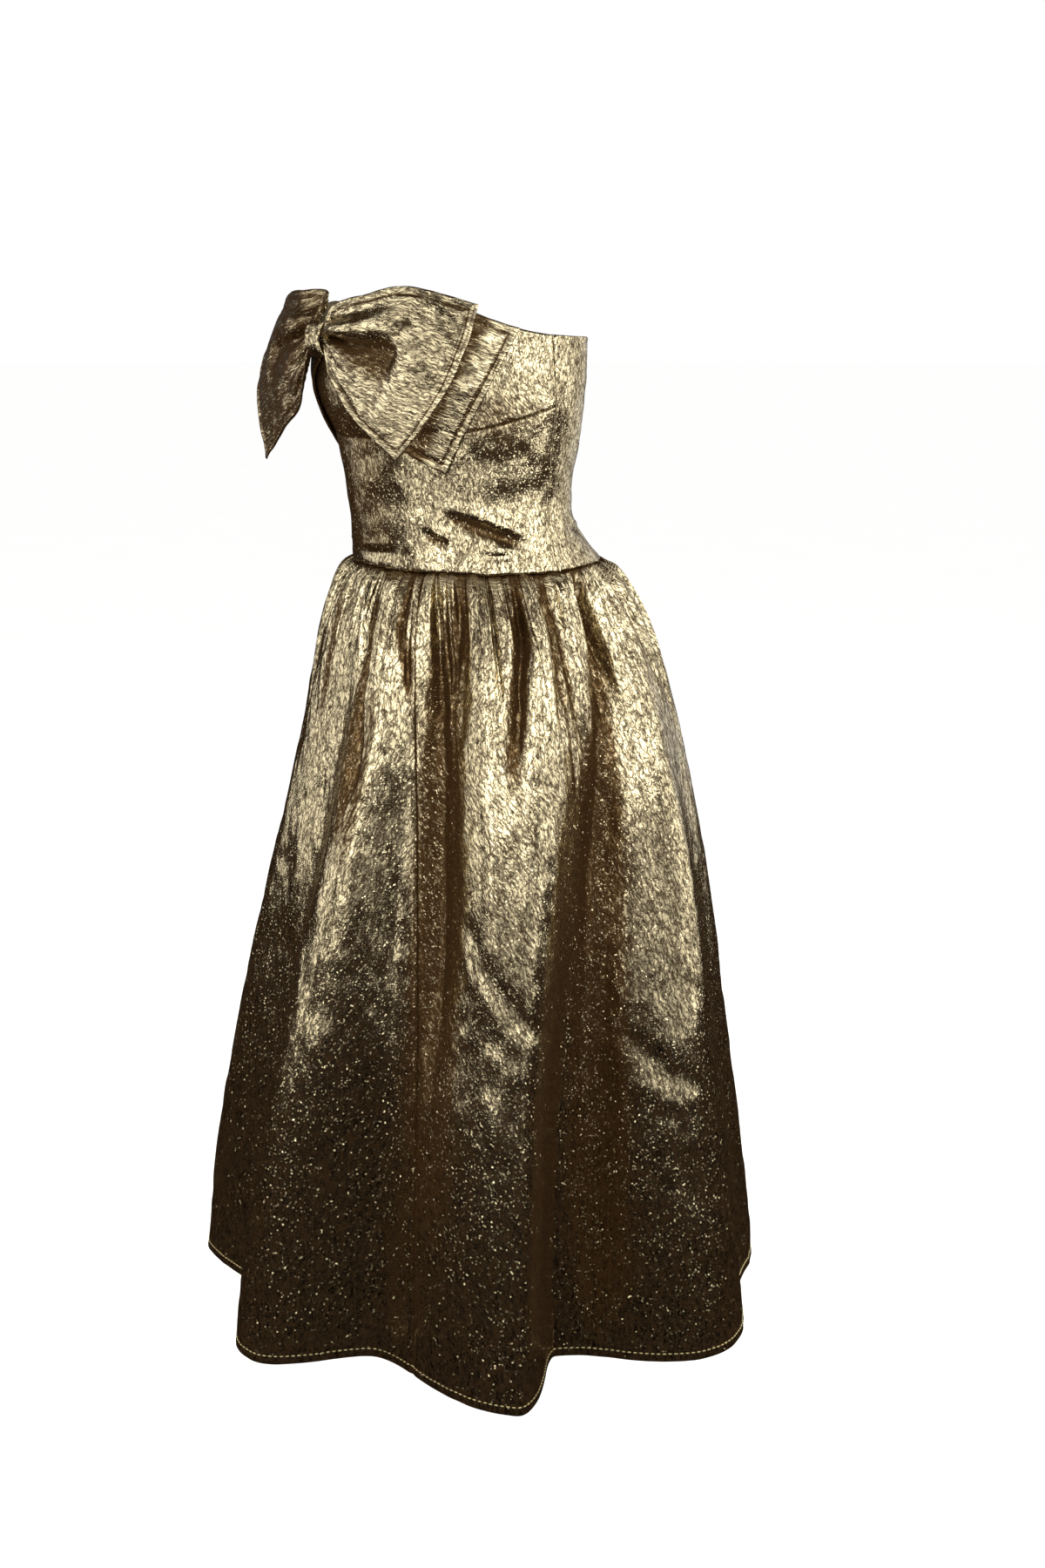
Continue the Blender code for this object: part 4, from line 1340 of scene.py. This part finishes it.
# ---------------------------------------------------------------- whole dress


def make_bodice():
    across = np.linspace(-1.0, 1.0, BODICE_COLUMNS + 1)
    bust_rows = np.linspace(0.0, 1.0, BUST_ROWS + 1)
    midriff_rows = np.linspace(0.0, 1.0, MIDRIFF_ROWS + 1)
    make_bodice_panel("bust_front", bust_front_place, across, bust_rows, 1, True)
    make_bodice_panel("midriff_front", midriff_place, across, midriff_rows, 1, False)
    back_rows = np.concatenate([midriff_rows[:-1], np.linspace(1.0, 2.0, BUST_ROWS // 2 + 1)])
    back_columns = np.linspace(0.0, 1.0, BACK_COLUMNS + 1)
    for name, side in (("back_left", 1), ("back_right", -1)):
        make_bodice_panel(name, back_place(side), back_columns, back_rows, side, True)


def make_skirt():
    seam = PANEL_SEAM_WAIST
    make_skirt_panel("skirt_front", -seam, seam)
    make_skirt_panel("skirt_left", seam, 180.0)
    make_skirt_panel("skirt_right", -180.0, -seam)


def colour_zip():
    for name in ("zip_slider", "zip_pull"):
        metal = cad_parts[name].data.materials
        metal.clear()
        metal.append(BRASS)


# ---------------------------------------------------------------- studio

CAMERA_AZIMUTH = 60.0
CAMERA_PITCH = 13.5
CAMERA_DISTANCE = 2.22
CAMERA_HEIGHT = 0.295
CAMERA_ASIDE = 0.051
CAMERA_LENS = 50.0
CAMERA_NEAREST = 0.02
FLOOR_HEIGHT = -1.12
FLOOR_RADIUS = 30.0
FLOOR_CORNERS = 96
FLOOR_PITCH, FLOOR_DETAIL = 3.0, 4.0
FLOOR_ROUGHNESS = 0.9
FLOOR_COLOURS = ((0.3, (0.985, 0.985, 0.980)), (0.7, (0.992, 0.992, 0.988)))
LIGHT_COLOUR = (1.0, 0.985, 0.95)

# Soft boxes: azimuth, distance, height of the middle, height aimed at, width, height, brightness
SOFT_BOXES = (
    (-38.0, 1.75, 0.28, 0.10, 2.0, 1.40, 1.50),
    (20.0, 1.70, 0.20, 0.10, 1.2, 0.90, 1.50),
    (-30.0, 1.50, 1.30, -0.10, 1.6, 0.7, 1.60),
    (60.0, 1.60, 1.02, -0.10, 2.6, 1.46, 1.70),
    (145.0, 1.90, 0.50, 0.10, 2.0, 1.80, 1.60),
    (103.0, 0.50, 0.12, 0.12, 0.56, 0.38, 2.00),
    (42.0, 0.50, 0.02, 0.10, 0.70, 0.30, 1.35),
    (-172.0, 1.90, 0.42, 0.10, 2.2, 2.1, 1.15),
    (-88.0, 1.90, 0.50, 0.10, 1.2, 1.2, 0.12),
    (-128.0, 2.00, 0.40, 0.10, 1.7, 1.5, 0.55),
    (66.0, 2.00, 0.12, 0.10, 1.8, 0.62, 0.55),
    (106.0, 2.00, 0.02, 0.05, 1.2, 0.80, 0.80),
    (60.0, 0.30, 1.90, 0.00, 1.5, 1.3, 1.10),
)


def make_camera():
    azimuth, pitch = radians(CAMERA_AZIMUTH), radians(CAMERA_PITCH)
    right = Vector((cos(azimuth), sin(azimuth), 0.0))
    forward = Vector((-sin(azimuth) * cos(pitch), cos(azimuth) * cos(pitch), -sin(pitch)))
    up = right.cross(forward)
    place = Vector((sin(azimuth), -cos(azimuth), 0.0)) * CAMERA_DISTANCE + right * CAMERA_ASIDE
    place.z = CAMERA_HEIGHT
    camera = bpy.data.objects.new("camera", bpy.data.cameras.new("camera"))
    bpy.context.scene.collection.objects.link(camera)
    camera.matrix_world = Matrix.Translation(place) @ Matrix((right, up, -forward)).transposed().to_4x4()
    camera.data.lens = CAMERA_LENS
    camera.data.clip_start = CAMERA_NEAREST
    bpy.context.scene.camera = camera


def make_soft_box(name, azimuth, distance, height, aim_height, width, tall, brightness):
    data = bpy.data.lights.new(name, "AREA")
    data.shape = "RECTANGLE"
    data.size, data.size_y = width, tall
    data.energy = pi * width * tall * brightness
    data.color = LIGHT_COLOUR
    light = bpy.data.objects.new(name, data)
    bpy.context.scene.collection.objects.link(light)
    light.visible_camera = False
    light.location = (distance * sin(radians(azimuth)), -distance * cos(radians(azimuth)), height)
    aim = Vector((0.0, 0.0, aim_height)) - light.location
    light.rotation_euler = aim.to_track_quat("-Z", "Y").to_euler()


def make_floor():
    bpy.ops.mesh.primitive_circle_add(
        vertices=FLOOR_CORNERS, radius=FLOOR_RADIUS, fill_type="NGON", location=(0.0, 0.0, FLOOR_HEIGHT)
    )
    floor = bpy.context.object
    floor.name = "floor"
    floor.visible_glossy = False
    material, tree, shader = start_material("pale_floor")
    place = add_node(tree, "ShaderNodeTexCoord").outputs["Object"]
    mottle = noise_node(tree, place, FLOOR_PITCH, FLOOR_DETAIL).outputs["Fac"]
    tree.links.new(colour_ramp(tree, mottle, FLOOR_COLOURS), shader.inputs["Base Color"])
    shader.inputs["Roughness"].default_value = FLOOR_ROUGHNESS
    shader.inputs["Specular IOR Level"].default_value = 0.0
    floor.data.materials.append(material)


def make_world():
    """White light from all round, which the foil doesn't mirror."""
    world = bpy.data.worlds.new("studio")
    world.use_nodes = True
    background = world.node_tree.nodes["Background"]
    background.inputs["Color"].default_value = (1.0, 1.0, 1.0, 1.0)
    background.inputs["Strength"].default_value = 1.0
    bpy.context.scene.world = world
    world.cycles_visibility.glossy = False
    bpy.context.scene.view_settings.view_transform = "Standard"


def make_studio():
    make_floor()
    for i, box in enumerate(SOFT_BOXES):
        make_soft_box(f"soft_box_{i}", *box)
    make_world()


make_camera()
make_studio()
make_bodice()
make_skirt()
make_knot()
make_bow()
colour_zip()
